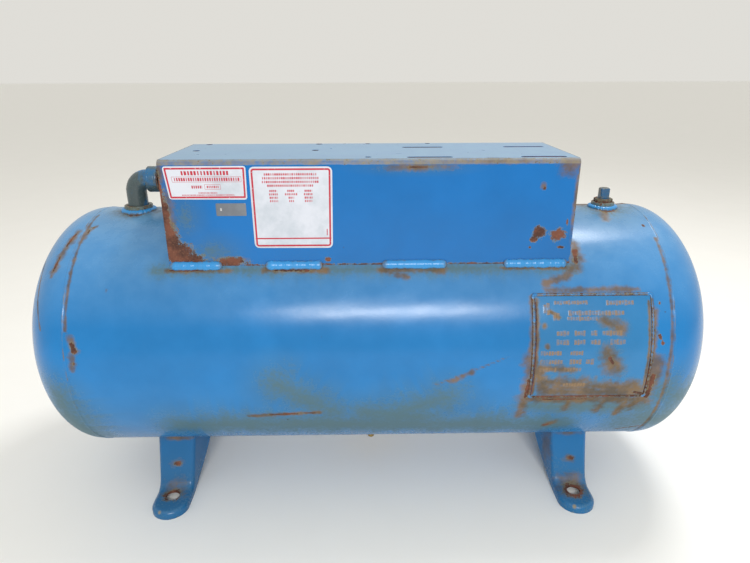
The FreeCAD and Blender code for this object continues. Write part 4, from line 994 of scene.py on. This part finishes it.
def makeBushingAndPlug(bushingMaterial, plugMaterial):
    # a hexagon and a square head: a turned profile cut down to the flats, with the turned chamfer left on top
    low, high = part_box("reducing_bushing")
    plugLow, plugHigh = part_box("pipe_plug")
    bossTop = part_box("port_boss_right")[1].z
    x = (plugLow.x + plugHigh.x) / 2
    look = ports["bushing"]
    corner, chamfer = look["corner"], look["chamfer"]
    flat = corner * math.cos(math.pi / 6)
    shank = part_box("port_boss_right")[1].x - x - 0.006
    profile = np.array([
        [low.z, look["bore"]], [low.z, shank], [bossTop - 0.0002, shank], [bossTop, corner - chamfer],
        [bossTop + 0.0006, corner], [high.z - chamfer, corner], [high.z - 0.0005, corner - chamfer * 0.6],
        [high.z, flat - 0.0004], [high.z, look["mouth"]], [high.z - 0.0010, look["mouth"] - 0.0009],
    ])
    points = upright(x, 0.0, profile, 144, manySided(6, flat, corner - 0.0003))
    rim = np.clip((points[..., 2] - high.z + 0.003) / 0.003, 0, 1) * 0.6
    rim = rim + (points[..., 2] < bossTop + 0.002) * 0.8
    makePiece("bushing_hexagon", points, bushingMaterial, ["reducing_bushing"], wrapRows=True,
              fields={"rimField": np.clip(rim, 0, 1)})
    look = ports["plug"]
    half, corner, threadRadius = look["square"] / 2, look["corner"], look["thread"]
    profile = np.array([
        [plugLow.z, 0.0004], [plugLow.z, threadRadius], [high.z + 0.0004, threadRadius],
        [high.z + 0.0010, threadRadius - 0.0005], [high.z + 0.0016, corner],
        [plugHigh.z - look["chamfer"], corner], [plugHigh.z - 0.0004, half + 0.0010],
        [plugHigh.z, half - 0.0002], [plugHigh.z - 0.0001, 0.0044], [plugHigh.z - 0.0006, 0.0030],
        [plugHigh.z - 0.0006, 0.0004],
    ])
    points = upright(x, 0.0, profile, 128)
    # only the head is square; the thread below it stays round
    square = upright(x, 0.0, profile, 128, manySided(4, half, corner))
    points = np.where((profile[:, 0] > high.z + 0.0009)[:, None, None], square, points)
    rim = np.clip((points[..., 2] - plugHigh.z + 0.0025) / 0.0025, 0, 1) * 0.7
    rim = rim + (points[..., 2] < high.z + 0.003) * 0.6
    makePiece("plug_head", points, plugMaterial, ["pipe_plug"],
              fields={"rimField": np.clip(rim, 0, 1)})


bossMaterial = makeFittingMaterial("bossEnamel", blue["boss"], 0.1, 0.5, 0.24)
makeBoss("port_boss_left", bossMaterial)
makeBoss("port_boss_right", bossMaterial)
for portEnd, weldSeed in (("left", 3), ("right", 9)):
    bossLow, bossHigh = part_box("port_boss_" + portEnd)
    bossMiddle, bossRadius = (bossLow.x + bossHigh.x) / 2, (bossHigh.x - bossLow.x) / 2
    makeRingWeld("port_weld_" + portEnd, bossMiddle, bossRadius, weldLook["portLeg"], 1, weldSeed)
makeElbow(makeFittingMaterial("elbowIron", blue["fitting"], 0.0, 0.34, 0.14))
makeBushingAndPlug(
    makeFittingMaterial("bushingIron", tone(110, 96, 82), 0.1, 0.4, 0.26),
    makeFittingMaterial("plugIron", blue["plug"], 0.03, 0.1, 0.06),
)
print("stage: ports made")


def makeMetal(name, color, dull, metallic, roughness, scale):
    # bare metal: fine tool marks, dull film in blots, a little grime
    material, tree, shader = startMaterial(name)
    place = objectPlace(tree)
    blot = noise(tree, place, scale, 6.0, 0.65)
    fine = noise(tree, place, scale * 9, 3.0, 0.6)
    film = ramp(tree, blot, 0.42, 0.66)
    plug(tree, mixTones(tree, calc(tree, "MULTIPLY", film, 0.8), color, dull), shader.inputs["Base Color"])
    marks = calc(tree, "MULTIPLY_ADD", fine, 0.3, blot)
    plug(tree, ramp(tree, marks, 0.3, 0.9, roughness, roughness + 0.3), shader.inputs["Roughness"])
    plug(tree, calc(tree, "MULTIPLY_ADD", film, -0.35, metallic, clamp=True), shader.inputs["Metallic"])
    bump = put(tree, "ShaderNodeBump", {"Height": fine, "Strength": 0.35, "Distance": 0.0003})
    plug(tree, bump.outputs["Normal"], shader.inputs["Normal"])
    return material


brass = makeMetal("cockBrass", tone(188, 158, 92), tone(112, 92, 58), 0.95, 0.28, 120.0)
steel = makeMetal("cockSteel", tone(168, 168, 164), tone(110, 98, 84), 0.9, 0.34, 150.0)
drainLow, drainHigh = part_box("drain_boss")
makeBoss("drain_boss", bossMaterial)
makeRingWeld("drain_boss_weld", 0.0, (drainHigh.x - drainLow.x) / 2, weldLook["drainLeg"], -1, 14)
softCopy("drain_cock_body", brass, 0.0003)
softCopy("drain_cock_key", brass, 0.0003, "drain_key")
softCopy("drain_cock_washer", steel, 0.0002, "drain_key")
softCopy("drain_cock_nut", steel, 0.0003, "drain_key")
print("stage: drain made")


dataPlate = {
    "sweep": 44.2, "topAngle": 32.3, "rise": 0.00105, "stamp": 0.00035, "across": 250, "down": 220,
    "markTone": tone(134, 110, 82), "weldOut": 0.0024, "weldHalf": 0.0023, "weldHigh": 0.00165, "weldCorner": 0.003,
    # rows of marks: left, right, degrees, height, and how many blocks; no letters, only plain blocks
    "rows": [
        (0.268, 0.318, 29.6, 0.0040, 12), (0.345, 0.386, 29.4, 0.0048, 9), (0.252, 0.262, 27.0, 0.0110, 2),
        (0.266, 0.276, 23.8, 0.0090, 2), (0.289, 0.371, 25.2, 0.0050, 17), (0.287, 0.332, 22.9, 0.0040, 11),
        (0.271, 0.290, 16.9, 0.0050, 4), (0.297, 0.314, 16.9, 0.0050, 4), (0.321, 0.331, 16.9, 0.0050, 2),
        (0.338, 0.368, 16.9, 0.0050, 6), (0.271, 0.290, 13.2, 0.0052, 4), (0.297, 0.314, 13.2, 0.0052, 4),
        (0.321, 0.336, 13.2, 0.0052, 3), (0.350, 0.373, 13.2, 0.0056, 5), (0.248, 0.280, 8.6, 0.0046, 8),
        (0.292, 0.312, 8.6, 0.0046, 5), (0.248, 0.282, 4.8, 0.0050, 8), (0.292, 0.310, 4.8, 0.0054, 4),
        (0.316, 0.329, 4.8, 0.0060, 2), (0.248, 0.274, 1.2, 0.0046, 6), (0.284, 0.311, 1.2, 0.0046, 6),
        (0.286, 0.320, -6.2, 0.0046, 8), (0.250, 0.262, -2.6, 0.0046, 3),
    ],
    "blots": [
        (0.2415, 30.0, 0.2415, -11.0, 0.0010), (0.398, -10.4, 0.408, -11.2, 0.0026), (0.352, 6.0, 0.357, 4.0, 0.0026),
    ],
    "washes": [
        (0.341, 21.8, 0.365, 18.8, 0.0092), (0.349, 9.0, 0.357, 2.5, 0.0135), (0.362, 3.5, 0.366, 1.0, 0.0080),
        (0.250, -4.0, 0.405, -9.6, 0.0120), (0.262, 26.0, 0.275, 23.5, 0.0034), (0.300, 33.0, 0.390, 33.0, 0.0020),
        (0.246, 0.0, 0.262, -9.0, 0.0130), (0.262, -9.5, 0.400, -10.8, 0.0100),
        (0.275, -7.0, 0.335, -9.0, 0.0090), (0.395, -7.0, 0.410, -11.0, 0.0100),
        (0.243, 31.0, 0.243, -11.0, 0.0030), (0.253, 20.4, 0.253, 20.0, 0.0036),
        (0.258, 11.5, 0.259, 11.0, 0.0030), (0.250, 2.0, 0.300, 1.0, 0.0060), (0.408, 30.0, 0.409, -10.0, 0.0022),
    ],
}


def makePlateMaterial():
    # the tank's paint, with the tops of the stamped marks rubbed brown
    material, tree, shader = startMaterial("plateEnamel")
    place = objectPlace(tree)
    stamp, wash = ownValue(tree, "stampField"), ownValue(tree, "washField")
    breaks = ramp(tree, noise(tree, place, 120.0, 5.0, 0.65), 0.36, 0.60, 0.25, 1.0)
    paint = useGroup(tree, paintGroup, {
        "Vector": place, "Tone": blue["plate"], "Fade": 0.04, "Chips": 0.3, "Grain": 120.0,
        "Dirt": calc(tree, "MULTIPLY_ADD", wash, 0.6, 0.10), "Stain": wash, "Rust": ownValue(tree, "rustField"),
    })
    worn = calc(tree, "MULTIPLY", stamp, breaks)
    color = mixTones(tree, calc(tree, "MULTIPLY", worn, 0.92), paint["Color"], dataPlate["markTone"])
    plug(tree, color, shader.inputs["Base Color"])
    plug(tree, mixValues(tree, worn, paint["Roughness"], 0.7), shader.inputs["Roughness"])
    bump = put(tree, "ShaderNodeBump", {"Height": paint["Height"], "Strength": 0.5, "Distance": 0.0006})
    plug(tree, bump.outputs["Normal"], shader.inputs["Normal"])
    return material


def stampedRows(x, degrees):
    # 1 on each block of each row and 0 between, with soft edges; blocks differ a little in width and height
    stamp = 0 * (x + degrees)
    for index, (left, right, angle, height, blocks) in enumerate(dataPlate["rows"]):
        t = (x - left) / (right - left)
        cell = (t * blocks) % 1
        which = np.floor(t * blocks)
        gap = 0.16 + 0.10 * np.sin(which * 2.7 + index)
        block = np.clip((0.5 - gap / 2 - np.abs(cell - 0.5)) * 9 + 0.5, 0, 1) * ((t > 0) & (t < 1))
        tall = height * (1.35 + 0.25 * np.sin(which * 4.1 + index * 2)) / 2
        arc = np.abs(np.radians(degrees - angle)) * tankRadius
        stamp = np.maximum(stamp, block * np.clip((tall - arc) / 0.0008 + 0.5, 0, 1))
    return stamp


def makeDataPlate():
    # a sheet on the round of the tank; each row of blocks stands up by a soft step
    low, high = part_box("data_plate")
    down, across = dataPlate["down"], dataPlate["across"]
    degrees = np.linspace(dataPlate["topAngle"], dataPlate["topAngle"] - dataPlate["sweep"], down)[:, None]
    x = np.linspace(low.x + 0.0004, high.x - 0.0004, across)[None, :]
    stamp = stampedRows(x, degrees)
    # a long sheet bows a little between its welded edges
    u, v = np.linspace(0, 1, across)[None, :], np.linspace(0, 1, down)[:, None]
    bow = 0.0001 * np.sin(u * 9 + v * 4) * np.sin(v * 7)
    r = tankRadius + dataPlate["rise"] - 0.0001 + bow + dataPlate["stamp"] * stamp
    a = np.radians(degrees)
    skin = np.stack([x + 0 * r, -r * np.cos(a), axisZ + r * np.sin(a)], -1)
    deep = tankRadius - 0.0006
    under = np.stack([x + 0 * r, -deep * np.cos(a) + 0 * r, axisZ + deep * np.sin(a) + 0 * r], -1)
    # one section runs over the top and back underneath, so the columns close
    points = np.concatenate([skin, under[:, ::-1][:, ::8]], 1)
    fields = {
        "stampField": np.concatenate([stamp, 0 * points[:, across:, 0]], 1),
        "rustField": nearStrokes(points, dataPlate["blots"]),
        "washField": nearStrokes(points, dataPlate["washes"]),
    }
    makePiece("data_plate_sheet", points, makePlateMaterial(), ["data_plate"], fields=fields)


def makePlateWeld():
    # a low half-round bead carried round a rectangle with rounded corners, swollen at the corners
    low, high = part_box("data_plate")
    count, steps = 900, 9
    halfWide = (high.x - low.x) / 2 + dataPlate["weldOut"]
    halfTall = math.radians(dataPlate["sweep"]) * tankRadius / 2 + dataPlate["weldOut"]
    s = np.linspace(0, 2 * np.pi, count, endpoint=False)
    corners = np.array([[-1, -1], [1, -1], [1, 1], [-1, 1]]) * [halfWide, halfTall]
    outline = roundedLoop(corners, dataPlate["weldCorner"], count)
    onward = np.roll(outline, -1, 0) - np.roll(outline, 1, 0)
    onward /= np.linalg.norm(onward, axis=1)[:, None]
    aside = np.stack([onward[:, 1], -onward[:, 0]], -1)
    gap = np.hypot(np.abs(outline[:, 0]) - halfWide, np.abs(outline[:, 1]) - halfTall)
    atCorner = np.clip(1 - gap / 0.007, 0, 1)
    lumps = 1 + 0.22 * swell(s * 40, 4) + 0.45 * atCorner
    phi = np.linspace(0, np.pi, steps)
    wide = dataPlate["weldHalf"] * np.minimum(lumps, 1.4)[:, None] * np.cos(phi)
    tall = np.minimum(dataPlate["weldHigh"] * lumps[:, None] * np.sin(phi), 0.0020)
    wide = np.concatenate([wide, wide[:, -1:], wide[:, :1]], 1)
    tall = np.concatenate([tall, tall[:, -1:] * 0 - 0.001, tall[:, :1] * 0 - 0.001], 1)
    flat = outline[:, None] + aside[:, None] * wide[..., None]
    middleX = (low.x + high.x) / 2
    middleAngle = math.radians(dataPlate["topAngle"] - dataPlate["sweep"] / 2)
    angle = middleAngle + flat[..., 1] / tankRadius
    r = tankRadius + tall
    points = np.stack([middleX + flat[..., 0], -r * np.cos(angle), axisZ + r * np.sin(angle)], -1)
    rim = np.concatenate([np.abs(np.cos(phi)) ** 1.5, [1, 1]]) + 0 * wide
    lowDown = np.clip(-outline[:, 1] / halfTall, 0, 1)[:, None]
    side = np.clip(0.62 + 0.3 * swell(s * 13, 7) - 1.3 * atCorner, 0, 1)[:, None]
    rim = np.clip(rim * 0.55 + side * 0.8 + 0.35 * lowDown, 0, 1.3)
    makePiece("data_plate_bead", points, frameMaterial, ["data_plate_weld"], wrapRows=True,
              fields={"rimField": rim})


def roundedLoop(corners, radius, count):
    # a four-sided outline with round corners, set out at even steps along its length
    before, after = np.roll(corners, 1, 0) - corners, np.roll(corners, -1, 0) - corners
    before /= np.linalg.norm(before, axis=1)[:, None]
    after /= np.linalg.norm(after, axis=1)[:, None]
    half = np.arccos(np.clip((before * after).sum(1), -1, 1)) / 2
    bisector = before + after
    bisector /= np.linalg.norm(bisector, axis=1)[:, None]
    centre = corners + bisector * (radius / np.sin(half))[:, None]
    start = corners + before * (radius / np.tan(half))[:, None] - centre
    end = corners + after * (radius / np.tan(half))[:, None] - centre
    t = np.linspace(0, 1, 9)[None, :, None]
    arc = start[:, None] * (1 - t) + end[:, None] * t
    arc = arc / np.linalg.norm(arc, axis=2)[..., None] * radius + centre[:, None]
    loop = arc.reshape(-1, 2)
    loop = np.concatenate([loop, loop[:1]])
    length = np.concatenate([[0], np.cumsum(np.linalg.norm(np.diff(loop, axis=0), axis=1))])
    even = np.linspace(0, length[-1], count, endpoint=False)
    return np.stack([np.interp(even, length, loop[:, k]) for k in range(2)], -1)


makeDataPlate()
makePlateWeld()
print("stage: data plate made")


labels = {
    # corners: X and height over the axis, from the low left round
    # marks: plain bars on the film, in mm from its low left: left, right, low, high and the pitch of the blocks
    # boxes: left, right, low, high and the thickness of the line
    "model_label": {
        "corners": [(-0.2855, 0.2492), (-0.1752, 0.2482), (-0.1744, 0.2960), (-0.2912, 0.2958)],
        "round": 0.0034, "border": (2.0, 2.6), "size": (117.0, 48.0),
        "bars": [(24.0, 93.0, 35.2, 41.2, 4.6), (12.5, 108.0, 26.8, 31.6, 3.4), (36.0, 52.0, 16.2, 20.4, 3.0),
                 (58.5, 76.0, 16.6, 20.0, 2.6), (45.0, 73.0, 8.6, 10.6, 1.8), (20.0, 98.0, 5.6, 7.4, 1.6)],
        "boxes": [(10.0, 110.0, 25.2, 33.2, 0.45), (55.5, 79.0, 14.6, 22.0, 0.45)],
    },
    "caution_label": {
        "corners": [(-0.1696, 0.1762), (-0.0552, 0.1756), (-0.0530, 0.2946), (-0.1702, 0.2948)],
        "round": 0.0066, "border": (2.4, 2.6), "size": (116.5, 119.0),
        "bars": [(20.0, 94.0, 106.6, 109.8, 3.0), (17.0, 97.0, 101.2, 104.4, 3.0), (16.5, 98.0, 95.9, 99.1, 3.0),
                 (24.0, 90.0, 90.6, 93.8, 3.0), (26.5, 38.0, 83.2, 86.2, 2.6), (26.0, 39.0, 78.3, 81.3, 2.6),
                 (26.5, 38.5, 73.4, 76.4, 2.6), (26.5, 38.5, 68.5, 71.5, 2.6), (52.0, 63.0, 83.2, 86.2, 2.6),
                 (48.5, 67.0, 78.3, 81.3, 2.6), (53.5, 62.0, 73.4, 76.4, 2.6), (54.0, 61.5, 68.5, 71.5, 2.6),
                 (76.5, 88.0, 83.2, 86.2, 2.6), (75.5, 89.0, 78.3, 81.3, 2.6), (76.5, 88.5, 73.4, 76.4, 2.6),
                 (76.5, 88.0, 68.5, 71.5, 2.6), (106.5, 109.0, 19.0, 28.5, 9.0)],
        "boxes": [(2.0, 114.5, 13.6, 15.6, 9.0)],
    },
    "ratings_sticker": {
        "corners": [(-0.2212, 0.2246), (-0.1780, 0.2246), (-0.1780, 0.2430), (-0.2212, 0.2430)],
        "round": 0.0012, "border": None, "size": (43.2, 18.4), "bars": [(4.0, 8.0, 7.5, 11.5, 9.0)], "boxes": [],
    },
}
filmTones = {
    "paper": tone(206, 210, 220), "paperDull": tone(182, 190, 200), "red": tone(172, 16, 44),
    "redWorn": tone(190, 50, 70), "foil": tone(128, 134, 142), "foilDull": tone(110, 114, 122),
    "foilMark": tone(214, 214, 214), "smudge": tone(120, 128, 128),
}


def makeBarGroup():
    # inside a rectangle, cut into blocks of a given pitch and uneven width
    tree, takes, gives = startGroup(
        "inkBar",
        [("U", "Float", 0.0), ("V", "Float", 0.0), ("Left", "Float", 0.0), ("Right", "Float", 1.0),
         ("Low", "Float", 0.0), ("High", "Float", 1.0), ("Pitch", "Float", 3.0)],
        [("Mask", "Float")],
    )
    soft = 0.25
    inX = calc(tree, "MULTIPLY", ramp(tree, calc(tree, "SUBTRACT", takes["U"], takes["Left"]), -soft, soft),
               ramp(tree, calc(tree, "SUBTRACT", takes["Right"], takes["U"]), -soft, soft))
    inY = calc(tree, "MULTIPLY", ramp(tree, calc(tree, "SUBTRACT", takes["V"], takes["Low"]), -soft, soft),
               ramp(tree, calc(tree, "SUBTRACT", takes["High"], takes["V"]), -soft, soft))
    steps = calc(tree, "DIVIDE", calc(tree, "SUBTRACT", takes["U"], takes["Left"]), takes["Pitch"])
    cell = put(tree, "ShaderNodeCombineXYZ", {0: calc(tree, "FLOOR", steps), 1: takes["Low"]}).outputs[0]
    odd = put(tree, "ShaderNodeTexWhiteNoise", {"Vector": cell}).outputs["Value"]
    halfBlock = calc(tree, "MULTIPLY_ADD", odd, -0.22, 0.40)
    fromMiddle = calc(tree, "ABSOLUTE", calc(tree, "SUBTRACT", calc(tree, "FRACT", steps), 0.5))
    inCell = calc(tree, "SUBTRACT", halfBlock, fromMiddle)
    blocks = ramp(tree, inCell, -0.06, 0.06)
    plug(tree, calc(tree, "MULTIPLY", calc(tree, "MULTIPLY", inX, inY), blocks), gives["Mask"])
    return tree


def makeBoxGroup():
    # how far inside a rectangle a point is, in mm; negative outside
    tree, takes, gives = startGroup(
        "boxDepth",
        [("U", "Float", 0.0), ("V", "Float", 0.0), ("Left", "Float", 0.0), ("Right", "Float", 1.0),
         ("Low", "Float", 0.0), ("High", "Float", 1.0), ("Round", "Float", 1.0)],
        [("Depth", "Float")],
    )

    def gapOutside(place, low, high):
        # distance past a side drawn in by the corner's radius
        middle = calc(tree, "MULTIPLY", calc(tree, "ADD", takes[low], takes[high]), 0.5)
        half = calc(tree, "MULTIPLY", calc(tree, "SUBTRACT", takes[high], takes[low]), 0.5)
        away = calc(tree, "ABSOLUTE", calc(tree, "SUBTRACT", takes[place], middle))
        return calc(tree, "ADD", calc(tree, "SUBTRACT", away, half), takes["Round"])

    gx, gy = gapOutside("U", "Left", "Right"), gapOutside("V", "Low", "High")
    px, py = calc(tree, "MAXIMUM", gx, 0.0), calc(tree, "MAXIMUM", gy, 0.0)
    outside = calc(tree, "SQRT", calc(tree, "MULTIPLY_ADD", px, px, calc(tree, "MULTIPLY", py, py)))
    inside = calc(tree, "MINIMUM", calc(tree, "MAXIMUM", gx, gy), 0.0)
    depth = calc(tree, "SUBTRACT", takes["Round"], calc(tree, "ADD", outside, inside))
    plug(tree, depth, gives["Depth"])
    return tree


barGroup, boxGroup = makeBarGroup(), makeBoxGroup()


def band(tree, depth, start, width):
    # 1 between two depths
    end = start + width
    return calc(tree, "MULTIPLY", ramp(tree, depth, start - 0.2, start + 0.2),
                ramp(tree, depth, end + 0.2, end - 0.2))


def makeLabelMaterial(name, look):
    # white film with red bars and a red border, or dull foil with a pale mark
    foil = look["border"] is None
    material, tree, shader = startMaterial(name + "Film")
    place = objectPlace(tree)
    uvPlace = put(tree, "ShaderNodeUVMap", {}, uv_map="UVMap").outputs[0]
    u, v, _ = put(tree, "ShaderNodeSeparateXYZ", {0: uvPlace}).outputs
    width, height = look["size"]
    ink = 0.0
    if not foil:
        start, thick = look["border"]
        whole = {"Left": 0.0, "Right": width, "Low": 0.0, "High": height, "Round": look["round"] * 1000}
        ink = band(tree, useGroup(tree, boxGroup, {"U": u, "V": v, **whole})["Depth"], start, thick)
    for left, right, low, high, pitch in look["bars"]:
        sides = {"Left": left, "Right": right, "Low": low, "High": high, "Pitch": pitch}
        ink = calc(tree, "MAXIMUM", ink, useGroup(tree, barGroup, {"U": u, "V": v, **sides})["Mask"])
    for left, right, low, high, thick in look["boxes"]:
        sides = {"Left": left, "Right": right, "Low": low, "High": high, "Round": 0.6}
        depth = useGroup(tree, boxGroup, {"U": u, "V": v, **sides})["Depth"]
        ink = calc(tree, "MAXIMUM", ink, band(tree, depth, 0.0, thick))
    smear = noise(tree, place, 24.0, 5.0, 0.65)
    specks = noise(tree, place, 260.0, 3.0, 0.7)
    rubbed = ramp(tree, specks, 0.28, 0.42, 0.35, 1.0)
    if foil:
        ground = mixTones(tree, ramp(tree, smear, 0.3, 0.7), filmTones["foil"], filmTones["foilDull"])
        mark = filmTones["foilMark"]
    else:
        ground = mixTones(tree, ramp(tree, smear, 0.35, 0.75), filmTones["paper"], filmTones["paperDull"])
        mark = mixTones(tree, ramp(tree, specks, 0.3, 0.8), filmTones["red"], filmTones["redWorn"])
    color = mixTones(tree, calc(tree, "MULTIPLY", ink, rubbed), ground, mark)
    # smudges and a dark fleck here and there
    fleck = calc(tree, "MULTIPLY", ramp(tree, noise(tree, place, 90.0, 4.0, 0.7), 0.70, 0.76), 0.5)
    color = mixTones(tree, fleck, color, filmTones["smudge"])
    plug(tree, color, shader.inputs["Base Color"])
    plug(tree, ramp(tree, smear, 0.3, 0.7, 0.30, 0.46), shader.inputs["Roughness"])
    if foil:
        shader.inputs["Metallic"].default_value = 0.55
    creases = noise(tree, place, 60.0, 3.0)
    bump = put(tree, "ShaderNodeBump", {"Height": creases, "Strength": 0.25, "Distance": 0.0006})
    plug(tree, bump.outputs["Normal"], shader.inputs["Normal"])
    return material


def makeLabel(node):
    # rings of a rounded outline, drawn in to the middle on the front and on the back of a thin film
    look = labels[node]
    low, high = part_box(node)
    corners = np.array(look["corners"])
    loop = roundedLoop(corners, look["round"], 120)
    middle = corners.mean(0)
    shares = np.array([0.02, 0.3, 0.6, 0.85, 1.0, 1.0, 1.0, 0.985, 0.85, 0.6, 0.3, 0.02])
    front, back = low.y, high.y
    edge = (back - front) * 0.4
    y = np.array([back] * 4 + [back, front + edge, front + edge] + [front] * 5)
    flat = middle + (loop - middle)[None] * shares[:, None, None]
    flat[5:7] = flat[4]
    points = np.stack([flat[..., 0], y[:, None] + 0 * flat[..., 0], axisZ + flat[..., 1]], -1)
    # the film's own sheet coordinates: share of the way between its leaning sides, in mm
    width, height = look["size"]
    a, b, c, d = corners
    v = (flat[..., 1] - (a[1] + b[1]) / 2) / ((c[1] + d[1]) / 2 - (a[1] + b[1]) / 2)
    left, right = a[0] + (d[0] - a[0]) * v, b[0] + (c[0] - b[0]) * v
    u = (flat[..., 0] - left) / (right - left)
    uv = np.stack([u * width, v * height], -1)
    makePiece(node + "_film", points, makeLabelMaterial(node, look), [node], uv=uv)


makeLabel("model_label")
makeLabel("caution_label")
makeLabel("ratings_sticker")
print("stage: labels made")


studio = {
    "floor": tone(247, 246, 242), "floorDull": tone(243, 242, 238), "floorHalf": 40.0,
    "world": tone(232, 230, 224), "worldLight": 0.92,
    # each light: place, what it is aimed at, size, watts
    "lights": {
        "frontWindow": ((0.15, -2.6, 1.75), (0, 0, 0.3), (1.2, 0.26), 40.0),
        "overheadPanel": ((0.9, 0.7, 2.6), (0, 0, 0.3), (0.8, 0.4), 30.0),
    },
    "camera": (-0.0062, -0.9452, 0.6892), "yaw": 0.016, "pitch": 0.353, "roll": -0.003, "lens": 27.34,
}


def makeFloor():
    # a wide white card
    mesh = bpy.data.meshes.new("floor")
    side = studio["floorHalf"]
    mesh.from_pydata([(-side, -side, 0), (side, -side, 0), (side, side, 0), (-side, side, 0)], [], [(0, 1, 2, 3)])
    floor = bpy.data.objects.new("floor", mesh)
    bpy.context.scene.collection.objects.link(floor)
    material, tree, shader = startMaterial("floorCard")
    place = objectPlace(tree)
    color = mixTones(tree, noise(tree, place, 6.0, 3.0), studio["floor"], studio["floorDull"])
    plug(tree, color, shader.inputs["Base Color"])
    plug(tree, ramp(tree, noise(tree, place, 30.0), 0.3, 0.7, 0.55, 0.65), shader.inputs["Roughness"])
    mesh.materials.append(material)


def makeLights():
    # even grey-white air, a long window in front and a panel overhead
    world = bpy.data.worlds.new("studioAir")
    bpy.context.scene.world = world
    world.use_nodes = True
    air = world.node_tree.nodes["Background"]
    air.inputs["Color"].default_value = studio["world"]
    air.inputs["Strength"].default_value = studio["worldLight"]
    for word, (place, aim, size, power) in studio["lights"].items():
        lamp = bpy.data.lights.new(word, "AREA")
        lamp.shape = "RECTANGLE"
        lamp.size, lamp.size_y = size
        lamp.energy = power
        lampObject = bpy.data.objects.new(word, lamp)
        lampObject.location = place
        lampObject.rotation_euler = (Vector(aim) - Vector(place)).to_track_quat("-Z", "Y").to_euler()
        bpy.context.scene.collection.objects.link(lampObject)


def makeCamera():
    # aimed by its turn from straight ahead, its tilt down and a hair of roll
    lens = bpy.data.cameras.new("photographer")
    lens.lens = studio["lens"]
    lens.sensor_width = 36.0
    camera = bpy.data.objects.new("photographer", lens)
    camera.location = studio["camera"]
    yaw, pitch = studio["yaw"], studio["pitch"]
    forward = Vector((math.sin(yaw) * math.cos(pitch), math.cos(yaw) * math.cos(pitch), -math.sin(pitch)))
    camera.rotation_euler = forward.to_track_quat("-Z", "Y").to_matrix().to_4x4().to_euler()
    camera.rotation_euler.rotate_axis("Z", studio["roll"])
    bpy.context.scene.collection.objects.link(camera)
    bpy.context.scene.camera = camera


makeFloor()
makeLights()
makeCamera()
bpy.context.scene.view_settings.view_transform = "Standard"
print("stage: studio made")

bpy.context.view_layer.update()
